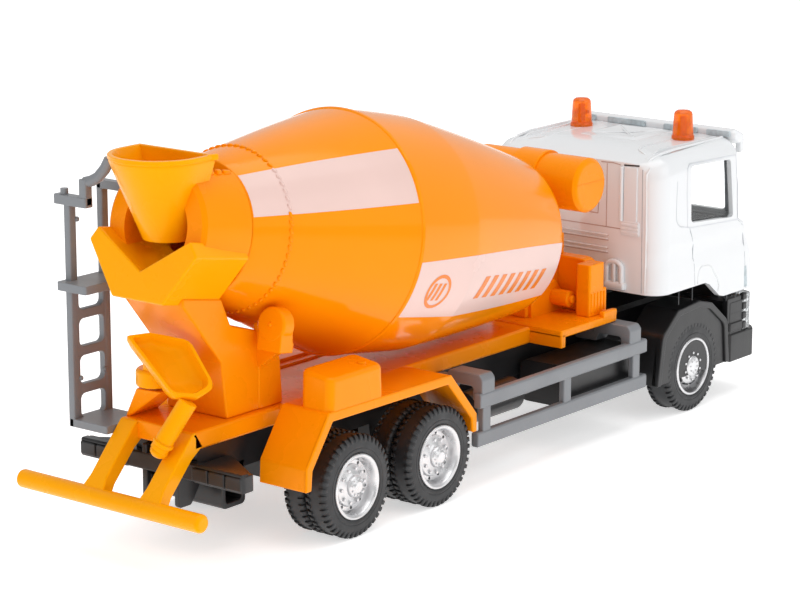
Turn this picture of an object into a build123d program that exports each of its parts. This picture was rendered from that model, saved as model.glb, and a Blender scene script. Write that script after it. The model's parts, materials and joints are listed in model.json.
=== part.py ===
from build123d import *
from math import atan2, cos, degrees, pi, radians, sin, sqrt
import os

os.makedirs("parts", exist_ok=True)

# Toy cement mixer truck. +X points to the cab, +Y to the truck's left, +Z up, millimetres.
# The origin is on the ground under the middle of the toy.

# ---- overall driving dimensions ----
tyre_r = 10.0
arch_clear = 1.5
tyre_outer_y = 22.0
front_axle_x = 64.9
rear_axle_x = (-49.7, -24.6)
front_tyre_w = 7.4
dual_tyre_w = 10.0
rim_seat_r = 6.6
axle_r = 1.0
axle_fit = 0.06

frame_top = 21.4
frame_bottom = 15.0
rail_in = 4.6
rail_out = 7.6
frame_rear_x = -78.0
frame_front_x = 82.0
hanger_half = 4.2
hanger_bottom = 7.6

deck_half_w = 9.1
deck_top = 24.9
deck_rear_x = -80.2
deck_front_x = 22.5
platform_front_x = 42.7
platform_half_w = 17.0
platform_top = 25.2
platform_t = 1.6

arch_r = tyre_r + arch_clear
arch_rear_x = front_axle_x - arch_r - 2.85
bumper_rear_x = front_axle_x + arch_r + 3.0

bar_r = 1.75
bar_x = -90.0
bar_z = 12.3
bar_right_y = -20.0
bar_left_y = 25.8
arm_w = 4.1

drum_tilt = 10.235
drum_x = -32.1
drum_z = 53.0
drum_r = 23.87
drum_mid_r = 23.4
drum_front_r = 16.8
drum_mid_len = 17.9
drum_len = 55.96
drum_bead_u = -28.45
drum_rear_u = -36.7
drum_slope = 0.2963
drum_wall = 1.3
collar_gap = 0.35
pivot_r = 2.4
pivot_fit = 0.06

guard_y = 22.0
guard_rear_x = rear_axle_x[1] + tyre_r + 2.2
guard_front_x = 46.9
guard_t = 1.8

cab_rear_x = 50.0
cab_half_w = 22.5
cab_wall = 1.3
cab_floor_z = 28.0
cab_low_z = 23.7
roof_z = 58.2
roof_fall = 2.2
roof_run = 8.0


def write(shape, name):
    export_step(shape, f"parts/{name}.step")


def block(x0, x1, y0, y1, z0, z1):
    """Box between two corners."""
    return Pos((x0 + x1) / 2, (y0 + y1) / 2, (z0 + z1) / 2) * Box(x1 - x0, y1 - y0, z1 - z0)


def side_plate(points, y0, y1):
    """Outline in x and z, standing between two y values."""
    face = Plane.XZ * make_face(Polyline(*points, close=True))
    return Pos(0, y1, 0) * extrude(face, y1 - y0, dir=(0, -1, 0))


def plan_plate(points, z0, z1):
    """Outline in x and y, lying between two z values."""
    return Pos(0, 0, z0) * extrude(make_face(Polyline(*points, close=True)), z1 - z0)


def rod(r, p, q):
    """Round rod of radius r from p to q."""
    a = Vector(*p)
    d = Vector(*q) - a
    plane = Plane(origin=a, z_dir=d)
    return plane * Pos(0, 0, d.length / 2) * Cylinder(r, d.length)


def tube(r_out, r_in, p, q):
    return rod(r_out, p, q) - rod(r_in, p, q)


def mirrored(shape):
    return mirror(shape, about=Plane.XZ)


# The drum's own frame: x runs along its axis to the cab and down, z is square to it.
tilt = radians(drum_tilt)
drum_frame = Plane(
    origin=(drum_x, 0, drum_z),
    x_dir=(cos(tilt), 0, -sin(tilt)),
    z_dir=(sin(tilt), 0, cos(tilt)),
)


def turned(points):
    """Outline in u and radius, turned round the drum's axis."""
    face = Plane.XZ * make_face(Polyline(*points, close=True))
    return drum_frame * revolve(face, axis=Axis.X)


def drum_point(u, v):
    """x and z of a point u along the drum's axis and v above it."""
    return (drum_x + u * cos(tilt) + v * sin(tilt), drum_z - u * sin(tilt) + v * cos(tilt))


# ================= wheels =================
def tyre(width, grooves):
    """Tyre on its own axis, outer wall at y = 0 and the width toward -y."""
    crown = 0.55
    outline = [
        (rim_seat_r, 0.0),
        (tyre_r - 1.5, 0.0),
        (tyre_r - 0.3, -0.5),
        (tyre_r, -1.3),
    ]
    for y in grooves:
        outline += [(tyre_r, y + crown), (tyre_r - 0.9, y + 0.3)]
        outline += [(tyre_r - 0.9, y - 0.3), (tyre_r, y - crown)]
    outline += [
        (tyre_r, -width + 1.3),
        (tyre_r - 0.3, -width + 0.5),
        (tyre_r - 1.5, -width),
        (rim_seat_r, -width),
    ]
    face = make_face(Polyline(*outline, close=True))
    body = revolve(face, axis=Axis.Y)
    lug = Pos(tyre_r, 0, 0) * Box(1.0, 1.5, 1.05)
    count = 30
    for side in (0, -width):
        for i in range(count):
            body -= Rot(0, 360 * (i + 0.5) / count, 0) * Pos(0, side, 0) * lug
    return body


def rear_rim(width):
    """Deep dish rim, its outer lip at y = 0."""
    dish_r, dish, face_t = rim_seat_r - 0.75, 3.0, 1.4
    outline = [
        (axle_r, -dish + 1.3),
        (2.1, -dish + 1.3),
        (2.3, -dish),
        (dish_r - 0.5, -dish),
        (dish_r, -0.4),
        (dish_r + 0.25, 0.25),
        (rim_seat_r, 0.25),
        (rim_seat_r, -width),
        (rim_seat_r - 0.9, -width),
        (rim_seat_r - 0.9, -dish - face_t),
        (3.0, -dish - face_t),
        (3.0, -width),
        (axle_r, -width),
    ]
    rim = revolve(make_face(Polyline(*outline, close=True)), axis=Axis.Y)
    nut = Rot(90, 0, 0) * Cylinder(0.42, 0.8)
    for i in range(10):
        a = 2 * pi * i / 10
        rim += Pos(4.1 * cos(a), -dish + 0.2, 4.1 * sin(a)) * nut
    return rim


def front_rim(width):
    """Rim with a domed hub cover standing out of it."""
    outline = [
        (axle_r, 0.1),
        (1.9, 0.1),
        (2.6, -0.45),
        (4.1, -0.9),
        (4.6, -1.5),
        (rim_seat_r - 0.95, -1.5),
        (rim_seat_r - 0.6, -0.3),
        (rim_seat_r - 0.35, 0.25),
        (rim_seat_r, 0.25),
        (rim_seat_r, -width),
        (rim_seat_r - 0.9, -width),
        (rim_seat_r - 0.9, -3.2),
        (3.0, -3.2),
        (3.0, -width),
        (axle_r, -width),
    ]
    rim = revolve(make_face(Polyline(*outline, close=True)), axis=Axis.Y)
    nut = Rot(90, 0, 0) * Cylinder(0.38, 0.9)
    for i in range(10):
        a = 2 * pi * i / 10
        rim += Pos(3.4 * cos(a), -0.7, 3.4 * sin(a)) * nut
    return rim


axles = (
    ("front", front_axle_x, front_tyre_w, ()),
    ("mid", rear_axle_x[1], dual_tyre_w, (-dual_tyre_w / 2,)),
    ("rear", rear_axle_x[0], dual_tyre_w, (-dual_tyre_w / 2,)),
)
for name, x, width, grooves in axles:
    at = Pos(x, tyre_outer_y, tyre_r)
    left_tyre = at * tyre(width, grooves)
    left_rim = at * (front_rim(width) if name == "front" else rear_rim(width))
    write(left_tyre, f"{name}_tyre_left")
    write(mirrored(left_tyre), f"{name}_tyre_right")
    write(left_rim, f"{name}_rim_left")
    write(mirrored(left_rim), f"{name}_rim_right")
    pin_end = tyre_outer_y - (0.6 if name == "front" else 2.3)
    write(rod(axle_r, (x, -pin_end, tyre_r), (x, pin_end, tyre_r)), f"{name}_axle")

# ================= chassis =================
chassis = Part()
for side in (1, -1):
    y0, y1 = sorted((side * rail_in, side * rail_out))
    chassis += block(frame_rear_x, frame_front_x, y0, y1, frame_bottom, frame_top)
    for x in (front_axle_x, *rear_axle_x):
        hanger = [
            (x - hanger_half, frame_bottom),
            (x - hanger_half + 1.4, hanger_bottom),
            (x + hanger_half - 1.4, hanger_bottom),
            (x + hanger_half, frame_bottom),
        ]
        chassis += side_plate(hanger, y0, y1)
for x in (-76.0, -62.0, -37.2, -8.0, 18.0, 46.0, 80.0):
    chassis += block(x - 1.6, x + 1.6, -rail_in, rail_in, frame_bottom + 1.2, frame_top)
for x in (front_axle_x, *rear_axle_x):
    chassis += block(x - 2.6, x + 2.6, -rail_in, rail_in, hanger_bottom + 0.8, tyre_r + 2.4)
    chassis -= rod(axle_r + axle_fit, (x, -rail_out - 1, tyre_r), (x, rail_out + 1, tyre_r))
write(chassis, "chassis_frame")

# floor pan that closes the underside between the wheels
pan = block(-18.0, 54.0, -rail_in + 0.1, rail_in - 0.1, frame_bottom - 1.0, frame_bottom)
pan += block(-18.0, 54.0, -rail_out, rail_out, frame_bottom - 2.6, frame_bottom - 1.0)
pan += block(-18.0, 54.0, rail_in - 0.1, rail_out, frame_bottom - 1.0, frame_bottom)
pan += block(-18.0, 54.0, -rail_out, -rail_in + 0.1, frame_bottom - 1.0, frame_bottom)
write(pan, "floor_pan")

# rear beam with stepped lamp blocks
beam_x, beam_z, beam_w = -80.05, 17.2, 19.6
beam = block(beam_x, frame_rear_x, -beam_w, beam_w, beam_z - 1.7, beam_z + 1.7)
for side in (1, -1):
    wing = [
        (beam_x, side * (beam_w - 9.0)),
        (beam_x, side * beam_w),
        (beam_x + 1.2, side * (beam_w + 1.0)),
        (beam_x + 3.2, side * (beam_w + 1.0)),
        (beam_x + 2.2, side * (beam_w - 9.0)),
    ]
    beam += plan_plate(wing, beam_z - 1.7, beam_z + 1.7)
    for k in range(3):
        y = side * (beam_w - 1.6 - 2.7 * k)
        beam += block(beam_x - 0.5, beam_x, y - 1.1, y + 1.1, beam_z - 1.2, beam_z + 1.2)
write(beam, "rear_beam")

# towing hitch: a hollow mouth under the rear beam
hitch = block(-79.6, -73.0, -rail_in + 0.2, rail_in - 0.2, 11.0, frame_bottom + 0.2)
hitch -= block(-80.0, -75.0, -rail_in + 1.3, rail_in - 1.3, 12.2, 14.2)
hitch += block(-77.6, -76.2, -rail_in + 0.2, rail_in - 0.2, 9.6, 11.0)
write(hitch, "tow_hitch")

# square tube slung across behind the rear axle, open at both ends
cross = block(-72.7, -66.3, -8.8, 8.8, 8.4, 13.6)
cross -= block(-71.7, -67.3, -9.3, 9.3, 9.4, 12.6)
cross += block(-72.2, -66.8, -rail_out, -rail_in, 13.6, frame_bottom)
cross += block(-72.2, -66.8, rail_in, rail_out, 13.6, frame_bottom)
write(cross, "under_tube")

# fuel tank on the right, air tanks on the left, shaft between them
fuel = block(20.0, 45.0, -19.2, -rail_out - 0.6, 9.8, 18.6)
fuel = fillet(fuel.edges().filter_by(Axis.X), 2.0)
for x in (25.0, 40.0):
    fuel += block(x - 1.0, x + 1.0, -rail_out - 0.8, -rail_out, 13.0, 17.0)
write(fuel, "fuel_tank")
air = Part()
air_pitch = 29.0
air_front_x = arch_rear_x - 1.55
for x in (air_front_x - 18.0 - air_pitch, air_front_x - 18.0):
    air += rod(3.9, (x, 13.6, 14.0), (x + 18.0, 13.6, 14.0))
    air += block(x + 4.0, x + 6.0, rail_out, 11.0, 13.0, 15.4)
    air += block(x + 12.0, x + 14.0, rail_out, 11.0, 13.0, 15.4)
air += rod(1.2, (air_front_x - air_pitch, 13.6, 14.0), (air_front_x - 18.0, 13.6, 14.0))
write(air, "air_tanks")
silencer = rod(3.4, (-6.0, -13.4, 14.2), (10.0, -13.4, 14.2))
silencer += rod(1.3, (10.0, -13.4, 14.2), (17.5, -13.4, 14.2))
silencer += block(-2.0, 0.0, -11.0, -rail_out, 13.2, 15.2)
silencer += block(5.0, 7.0, -11.0, -rail_out, 13.2, 15.2)
write(silencer, "silencer")

# side guards
rail_h = 3.0
low_z, high_z, arm_top = 9.0, 16.7, 23.4
guard = block(guard_rear_x, guard_front_x, guard_y - guard_t, guard_y, low_z, low_z + rail_h)
guard += block(guard_rear_x + 0.8, guard_front_x, guard_y - guard_t, guard_y, high_z, high_z + rail_h)
for x in (guard_rear_x + 3.2, (guard_rear_x + guard_front_x) / 2 + 1.0, guard_front_x - 3.6):
    guard += block(x - 1.2, x + 1.2, guard_y - guard_t + 0.3, guard_y - 0.3, low_z, high_z + 1)
for x in (guard_rear_x + 3.6, guard_front_x - 4.2):
    guard += block(x - 2.1, x + 2.1, rail_out, guard_y, frame_top - 2.4, frame_top)
    guard += block(x - 2.1, x + 2.1, guard_y - 2.4, guard_y, high_z + 1, arm_top)
    guard += block(x - 2.1, x + 2.1, guard_y - 9.0, guard_y, frame_top - 2.4, arm_top)
write(guard, "side_guard_left")
write(mirrored(guard), "side_guard_right")

# ================= orange deck =================
deck = block(deck_rear_x, deck_front_x, -deck_half_w, deck_half_w, frame_top, deck_top)
arm = [
    (deck_rear_x, deck_top),
    (deck_rear_x, frame_top),
    (bar_x + 1.6, bar_z - 0.9),
    (bar_x, bar_z),
    (bar_x - 0.9, bar_z + 1.4),
]
for side in (1, -1):
    y0, y1 = sorted((side * (deck_half_w - arm_w), side * deck_half_w))
    deck += side_plate(arm, y0, y1)
cap = Sphere(bar_r)
deck += rod(bar_r, (bar_x, bar_right_y + bar_r, bar_z), (bar_x, bar_left_y - bar_r, bar_z))
deck += Pos(bar_x, bar_right_y + bar_r, bar_z) * cap
deck += Pos(bar_x, bar_left_y - bar_r, bar_z) * cap
write(deck, "subframe")

# fenders over the two rear axles, with the tool box on top
fender_in_y, fender_out_y = 11.0, 22.5
fender_x0 = rear_axle_x[0] - tyre_r - 4.6
fender_x1 = rear_axle_x[1] + tyre_r + 1.2
fender_z = 2 * tyre_r + 6.2


def fender_points(rows):
    """Three points from the fender's rear edge and three from its front, all down from the top."""
    return [((fender_x0 if i < 3 else fender_x1) + x, fender_z - drop) for i, (x, drop) in enumerate(rows)]


fender_line = fender_points([(-0.7, 13.8), (-0.5, 9.3), (6.0, 0), (-8.2, 0.3), (-0.05, 9.7), (-0.01, 13.4)])
inner_line = fender_points([(0.7, 13.8), (0.85, 9.8), (6.8, 1.4), (-8.8, 1.6), (-1.25, 10.1), (-1.2, 13.4)])
lip_line = fender_points([(0.9, 13.8), (1.25, 10.0), (7.1, 1.9), (-9.1, 2.4), (-1.7, 10.6), (-1.2, 13.4)])
fender = side_plate(fender_line + inner_line[::-1], fender_in_y, fender_out_y)
fender += side_plate(fender_line + lip_line[::-1], fender_out_y - 0.45, fender_out_y)
tool_box = block(-58.0, -41.8, 14.8, 22.4, fender_z - 0.7, fender_z + 6.9)
tool_box = fillet(tool_box.edges().filter_by(Axis.X).sort_by(Axis.Z)[-2:], 1.3)
fender += tool_box
fender += block(-57.0, -24.0, deck_half_w, fender_in_y + 1.0, frame_top + 2.8, fender_z - 0.8)
write(fender, "fender_left")
write(mirrored(fender), "fender_right")

# ================= drum =================
def drum_r_at(u):
    """Outer radius of the rear cone at u along the axis."""
    return drum_r + drum_slope * u


shell_split = 0.0
bead = 0.55
rear_shell = turned([
    (drum_rear_u, drum_r_at(drum_rear_u)),
    (drum_bead_u - 0.6, drum_r_at(drum_bead_u) - 0.1),
    (drum_bead_u, drum_r_at(drum_bead_u) + bead),
    (drum_bead_u + 0.6, drum_r_at(drum_bead_u) + 0.1),
    (shell_split - 0.7, drum_r - 0.15),
    (shell_split - 0.6, drum_r + 0.15),
    (shell_split, drum_r + 0.15),
    (shell_split, drum_r - drum_wall),
    (drum_rear_u + drum_wall, drum_r_at(drum_rear_u) - drum_wall),
    (drum_rear_u + drum_wall, 10.5),
    (drum_rear_u, 10.5),
])
write(rear_shell, "drum_rear_shell")
boss_u = drum_len + 0.7
pin_u = drum_len + 5.6
front_shell = turned([
    (shell_split, drum_r),
    (drum_mid_len, drum_mid_r),
    (drum_len - 0.8, drum_front_r + 0.25),
    (drum_len, drum_front_r - 0.4),
    (drum_len, 4.0),
    (boss_u, 4.0),
    (boss_u, pivot_r),
    (pin_u, pivot_r),
    (pin_u, 0.0),
    (drum_len - 2.2, 0.0),
    (drum_len - 2.2, drum_front_r - 2.2),
    (drum_mid_len, drum_mid_r - drum_wall),
    (shell_split, drum_r - drum_wall),
])
write(front_shell, "drum_front_shell")
clear_drum = turned([
    (drum_rear_u - collar_gap, 0.0),
    (drum_rear_u - collar_gap, drum_r_at(drum_rear_u) + 0.4),
    (drum_bead_u - 1.2, drum_r_at(drum_bead_u) + 0.2),
    (drum_bead_u - 1.2, drum_r_at(drum_bead_u) + bead + 0.5),
    (drum_bead_u + 1.2, drum_r_at(drum_bead_u) + bead + 0.7),
    (drum_bead_u + 1.2, drum_r_at(drum_bead_u) + 0.85),
    (shell_split, drum_r + 0.6),
    (shell_split, 0.0),
])

# ================= rear pedestal, catcher, collar, funnel =================
catch_u0, catch_u1 = -51.4, drum_rear_u - collar_gap
catch_v = -13.4
tower_w = 7.3
tower = [
    (-69.6, deck_top),
    (-70.9, 35.8),
    drum_point(-47.0, catch_v),
    drum_point(-37.2, catch_v),
    (-68.2, 42.2),
    (-61.2, 40.1),
    (-59.7, 39.6),
    (-59.7, 33.5),
    (-54.6, 33.5),
    (-54.3, deck_top),
]
pedestal = side_plate(tower, -tower_w, tower_w)
roller_u0, roller_u1, roller_y, roller_v = -28.0, -24.8, 12.0, -16.15
roller_r = 3.4
for side in (1, -1):
    p, q = drum_point(roller_u0, roller_v), drum_point(roller_u1, roller_v)
    y = side * roller_y
    pedestal += rod(roller_r, (p[0], y, p[1]), (q[0], y, q[1]))
    y0, y1 = sorted((side * 6.0, side * (roller_y + 2.6)))
    pedestal += side_plate(
        [(p[0], p[1]), (p[0] - 0.9, 36.9), (q[0] - 0.2, 36.6), (q[0], q[1])], y0, y1
    )
pedestal -= clear_drum
write(pedestal, "rear_pedestal")


def across_drum(outline, u0, u1):
    """Outline in y and height above the drum's axis, standing from u0 to u1."""
    plane = Plane(
        origin=(drum_x + u0 * cos(tilt), 0, drum_z - u0 * sin(tilt)),
        x_dir=(0, 1, 0),
        z_dir=(cos(tilt), 0, -sin(tilt)),
    )
    return plane * extrude(make_face(Polyline(*outline, close=True)), u1 - u0)


def catcher_outline(rise=0.0):
    right = [(0.0, -8.0), (11.25, -1.2), (13.2, -3.8 + rise), (6.25, catch_v)]
    return right + [(-y, v) for y, v in right[:0:-1]]


catcher = across_drum(catcher_outline(), catch_u0, catch_u1)
write(catcher, "catcher")

funnel_rim_z, funnel_front_x, funnel_r = 75.0, -73.7, 9.3
funnel_back_x = funnel_front_x - 4.7
spout_x, spout_z, spout_r, funnel_t = -77.3, 58.6, 5.0, 1.2


def d_shape(z, inset):
    """Rim outline: straight to the drum, round to the rear."""
    r = funnel_r - inset
    front = funnel_front_x - inset
    line = Polyline((funnel_back_x, -r), (front, -r), (front, r), (funnel_back_x, r))
    arc = RadiusArc((funnel_back_x, r), (funnel_back_x, -r), -r)
    return Pos(0, 0, z) * make_face(line + arc)


def cone(inset):
    low = Pos(spout_x, 0, spout_z) * Circle(spout_r - inset)
    return loft([low, d_shape(funnel_rim_z - 1.2, inset + 0.5)])


funnel_solid = cone(0.0) + extrude(d_shape(funnel_rim_z - 1.2, 0.0), 1.2)
funnel = funnel_solid - cone(funnel_t) - extrude(d_shape(funnel_rim_z - 1.3, funnel_t + 0.5), 2.0)
write(funnel, "funnel")

collar_in, collar_out0, collar_out1 = 7.6, 12.0, 12.95
collar = turned([
    (-48.4, collar_in),
    (-48.4, collar_out0),
    (catch_u1, collar_out1),
    (catch_u1, collar_in + 1.2),
])
collar += turned([
    (catch_u1 - 0.5, 9.0),
    (catch_u1 - 0.5, 10.5 - 0.06),
    (drum_rear_u + 1.5, 10.5 - 0.06),
    (drum_rear_u + 1.5, 9.0),
])
below_v = [(0.0, -8.0), (20.0, 4.09), (20.0, -20.0), (-20.0, -20.0), (-20.0, 4.09)]
mouth = [(0.0, -8.0), (6.5, -4.07), (6.5, 16.0), (-6.5, 16.0), (-6.5, -4.07)]
collar -= across_drum(below_v, -50.0, catch_u1)
collar -= across_drum(mouth, -50.0, catch_u1)
collar -= funnel_solid

write(collar.solids().sort_by(SortBy.VOLUME)[-1], "collar")

# ================= discharge chute =================
post_x, post_y = -78.6, 2.0
post_top = 31.6
wedge = [(9.0, deck_top), (4.2, 29.4), (-1.6, 29.4), (-3.2, deck_top)]
wedge_face = Plane.YZ * make_face(Polyline(*wedge, close=True))
post = Pos(-80.1, 0, 0) * extrude(wedge_face, 9.0)
post += Pos(post_x, post_y, (28.0 + post_top) / 2) * Cylinder(3.3, post_top - 28.0)
post -= side_plate([(-69.6, 20.0), (-70.9, 35.8), (-60.0, 35.8), (-60.0, 20.0)], -20, 20)
post -= Pos(post_x, post_y, 31.0) * Cylinder(1.3 + axle_fit, 6.0)
write(post, "chute_post")
boss = Pos(post_x, post_y, (post_top + 35.1) / 2) * Cylinder(3.5, 35.1 - post_top)
boss += Pos(post_x, post_y, (29.0 + 35.0) / 2) * Cylinder(1.3, 6.0)
boss += rod(2.0, (post_x, post_y, 34.0), (-80.6, -1.0, 39.0))

# trough: a channel whose floor faces the right rear
high, low = Vector(-81.9, -0.6, 41.9), Vector(-81.9, -10.3, 32.0)
along = (low - high).normalized()
lip_dir = Vector(0.32, -0.55, 0.72)
out_dir = (lip_dir - along * lip_dir.dot(along)).normalized()
scoop_plane = Plane(origin=high, x_dir=out_dir.cross(along), z_dir=along)
scoop_w, scoop_deep, scoop_t = 4.8, 3.0, 1.0


def channel(w, d, floor, h0, h1):
    """Trapezium channel section, floor down and open up, from h0 to h1 along it."""
    face = make_face(Polyline((-w, d), (-w * 0.68, floor), (w * 0.68, floor), (w, d), close=True))
    return Pos(0, 0, h0) * extrude(face, h1 - h0)


side_sign = 1 if scoop_plane.y_dir.dot(out_dir) > 0 else -1
scoop_len = (low - high).length
outer = channel(scoop_w, side_sign * scoop_deep, -side_sign * 1.8, 0, scoop_len)
inner_floor = -side_sign * (1.8 - scoop_t)
hollow = channel(scoop_w - scoop_t, side_sign * (scoop_deep + 0.01), inner_floor, -1.0, scoop_len + 1.0)
scoop = scoop_plane * (outer - hollow)
scoop += boss
write(scoop, "chute_scoop")
brace_end = (-85.7, -4.9, 21.3)
brace_mid = (-83.6, -9.5, 30.2)
brace_root = (scoop_plane * Pos(0.6, -side_sign * 1.2, scoop_len - 0.6)).position
brace = rod(1.5, tuple(brace_root), brace_mid) + rod(1.5, brace_mid, brace_end)
brace += Pos(*brace_mid) * Sphere(1.5) + Pos(*brace_end) * Sphere(1.5)
brace += rod(1.8, (-85.3, -5.8, 23.0), (-85.55, -5.3, 22.1))
brace -= scoop + scoop_plane * (hollow - Pos(0, 0, scoop_len + 3.0) * Box(40, 40, 6.0))
brace = brace.solids().sort_by(SortBy.VOLUME)[-1]
write(brace, "chute_brace")

# ================= ladder =================
lad_y0, lad_y1 = 17.4, 19.0
stile_l, stile_r = (-84.1, -82.2), (-75.6, -73.8)
lad_z0, lad_top_l, lad_top_r = 22.2, 64.4, 66.4
ladder = block(*stile_l, lad_y0, lad_y1, lad_z0, lad_top_l)
ladder += block(*stile_r, lad_y0, lad_y1, lad_z0, lad_top_r)
for z in (43.2, 36.2, 29.0):
    ladder += block(stile_l[0], stile_r[1], lad_y0, lad_y1, z - 0.9, z + 0.9)
ladder += block(-85.6, stile_r[1], 12.0, lad_y1, 48.3, 49.8)
ladder += block(stile_l[0], stile_r[1], deck_half_w, lad_y1, lad_z0, 23.6)
ladder += block(*stile_l, 13.0, 21.2, lad_top_l - 0.4, lad_top_l + 1.2)
ladder += block(*stile_l, 13.0, 14.8, lad_top_l, 69.0)
ladder += rod(1.0, (-83.1, 13.9, 68.4), (-81.6, 7.4, 71.8))
ladder += block(stile_r[0], stile_r[1], 9.0, lad_y1, lad_top_r - 0.5, lad_top_r + 1.1)
ladder -= funnel_solid
ladder -= turned([(-52.0, 0.0), (-48.4, collar_out0), (catch_u1, collar_out1), (-36.0, 0.0)])
ladder -= across_drum(catcher_outline(), catch_u0, catch_u1)
ladder = ladder.solids().sort_by(SortBy.VOLUME)[-1]
write(ladder, "ladder")

# ================= front end of the deck =================
platform = block(
    deck_front_x, platform_front_x, -platform_half_w, platform_half_w, platform_top - platform_t, platform_top
)
platform += block(
    deck_front_x, deck_front_x + 1.6, -platform_half_w, platform_half_w, frame_top, platform_top
)
platform += block(deck_front_x, platform_front_x, -rail_out, rail_out, frame_top, platform_top)
for side in (1, -1):
    y0, y1 = sorted((side * (platform_half_w - 1.4), side * platform_half_w))
    platform += block(38.0, platform_front_x, y0, y1, platform_top, platform_top + 1.2)
write(platform, "front_platform")
cabinet = block(35.8, 42.3, -14.6, -11.0, platform_top, 30.7)
cabinet += block(35.8, 41.3, -14.6, -11.0, 30.7, 36.3)
for k in range(3):
    cabinet += block(36.6 + 1.9 * k, 37.5 + 1.9 * k, -14.9, -14.6, platform_top + 0.8, 30.0)
write(cabinet, "control_cabinet")
gear_u = boss_u + 0.3
gear_p, gear_q = drum_point(gear_u, 0), drum_point(gear_u + 6.4, 0)
gearbox = rod(5.6, (gear_p[0], 0, gear_p[1]), (gear_q[0], 0, gear_q[1]))
gearbox += block(27.0, 31.4, -4.4, 4.4, platform_top, 41.0)
gear_end = drum_point(pin_u + 0.4, 0)
gear_start = drum_point(gear_u - 1.0, 0)
gearbox -= rod(pivot_r + pivot_fit, (gear_start[0], 0, gear_start[1]), (gear_end[0], 0, gear_end[1]))
gearbox -= turned([(gear_u - 12.0, 0.0), (gear_u - 12.0, 22.0), (gear_u, 22.0), (gear_u, 0.0)])
write(gearbox, "gearbox")
front_block = [(28.1, 28.0), (36.4, 32.3), (39.3, 29.0), (39.3, platform_top), (28.1, platform_top)]
front_pedestal = side_plate(front_block, -5.2, 5.2) - block(20.0, 31.4, -4.4, 4.4, 20.0, 60.0)
front_pedestal += rod(1.9, (36.0, -9.6, 28.0), (36.0, -5.0, 28.0))
write(front_pedestal, "front_pedestal")
arch = block(39.3, platform_front_x, -12.0, 12.0, platform_top, 36.7)
arch = fillet(arch.edges().filter_by(Axis.X).sort_by(Axis.Z)[-2:], 2.2)
arch -= block(35.0, 42.31, -15.0, -11.0, 20.0, 30.71) + block(35.0, 41.31, -15.0, -11.0, 30.0, 36.31)
write(arch, "arch_plate")
tank_x, tank_z, tank_r, tank_half, band_half, band_t = 36.3, 53.3, 5.75, 14.2, 3.4, 0.55
tank = rod(tank_r, (tank_x, -tank_half, tank_z), (tank_x, tank_half, tank_z))
tank = fillet(tank.edges().filter_by(GeomType.CIRCLE), 0.6)
write(tank, "water_tank")
band = tube(tank_r + band_t, tank_r, (tank_x, -band_half, tank_z), (tank_x, band_half, tank_z))
write(band, "tank_band")
posts = Part()
for side in (1, -1):
    y0, y1 = sorted((side * 2.0, side * 4.0))
    posts += side_plate([(34.4, 31.27), (34.4, 50.0), (39.3, 50.0), (41.2, 36.7), (39.3, 36.7),
                         (39.3, 29.0), (36.4, 32.3)], y0, y1)
posts -= rod(tank_r + band_t, (tank_x, -tank_half, tank_z), (tank_x, tank_half, tank_z))
write(posts + block(36.5, 39.3, -2.5, 2.5, 38.0, 40.0), "tank_posts")

# ================= cab =================
cab_outline = [
    (cab_rear_x, cab_floor_z),
    (cab_rear_x, roof_z),
    (80.2, roof_z),
    (82.05, 55.0),
    (83.0, 40.6),
    (85.5, 38.6),
    (88.4, 31.8),
    (89.4, cab_low_z),
    (74.9, cab_low_z),
    (68.5, cab_floor_z),
]
inner_outline = [
    (cab_rear_x + cab_wall, roof_z - roof_fall - cab_wall),
    (cab_rear_x + roof_run + 0.3, roof_z - cab_wall),
    (79.4, roof_z - cab_wall),
    (80.72, 54.8),
    (81.68, 40.2),
    (84.4, 37.9),
    (87.1, 31.6),
    (88.1, cab_low_z - 1.0),
    (cab_rear_x + cab_wall, cab_low_z - 1.0),
]
shell = side_plate(cab_outline, -cab_half_w, cab_half_w)
corners = shell.edges().filter_by(Axis.Z).filter_by(lambda e: e.center().X < cab_rear_x + 0.1)
shell = fillet(corners, 4.0)
top_edges = shell.edges().filter_by(Axis.X).filter_by(lambda e: e.center().Z > roof_z - 0.1)
shell = fillet(top_edges, 1.8)
slope = roof_fall / roof_run
shell -= side_plate([
    (cab_rear_x - 1.0, roof_z - roof_fall - slope),
    (cab_rear_x + roof_run, roof_z),
    (cab_rear_x + roof_run, roof_z + 1.0),
    (cab_rear_x - 1.0, roof_z + 1.0),
], -cab_half_w - 1.0, cab_half_w + 1.0)
inside_y = cab_half_w - cab_wall
hollow_cab = side_plate(inner_outline, -inside_y, inside_y)
inside_corners = hollow_cab.edges().filter_by(Axis.Z)
inside_corners = inside_corners.filter_by(lambda e: e.center().X < cab_rear_x + cab_wall + 0.1)
shell -= fillet(inside_corners, 2.8)
side_window = [(62.4, 54.9), (76.95, 54.45), (79.9, 40.2), (63.5, 41.9)]
shell -= side_plate(side_window, -30, 30)
wind_half, wind_low, wind_high = 18.6, 42.0, 54.4
shell -= block(78.0, 90.0, -wind_half, wind_half, wind_low, wind_high)
for y in range(-14, 15, 4):
    shell -= block(88.0, 89.0, y - 1.6, y + 1.6, 25.2, 26.6)
write(shell, "cab_shell")

# glazing: one clear tub behind both side windows and the windscreen
glass_t = 0.8
glass_y = inside_y
glass_out = [(61.0, 38.8), (61.0, 56.6), (79.5, 56.6), (80.66, 54.75), (81.6, 40.3), (81.6, 38.8)]
glass_in = [(60.0, 38.0), (60.0, 57.0), (78.75, 57.0), (79.85, 54.6), (80.75, 40.4), (80.8, 38.0)]
glazing = side_plate(glass_out, -glass_y, glass_y) - side_plate(
    glass_in, -glass_y + glass_t, glass_y - glass_t
)
write(glazing, "cab_glazing")

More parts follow.
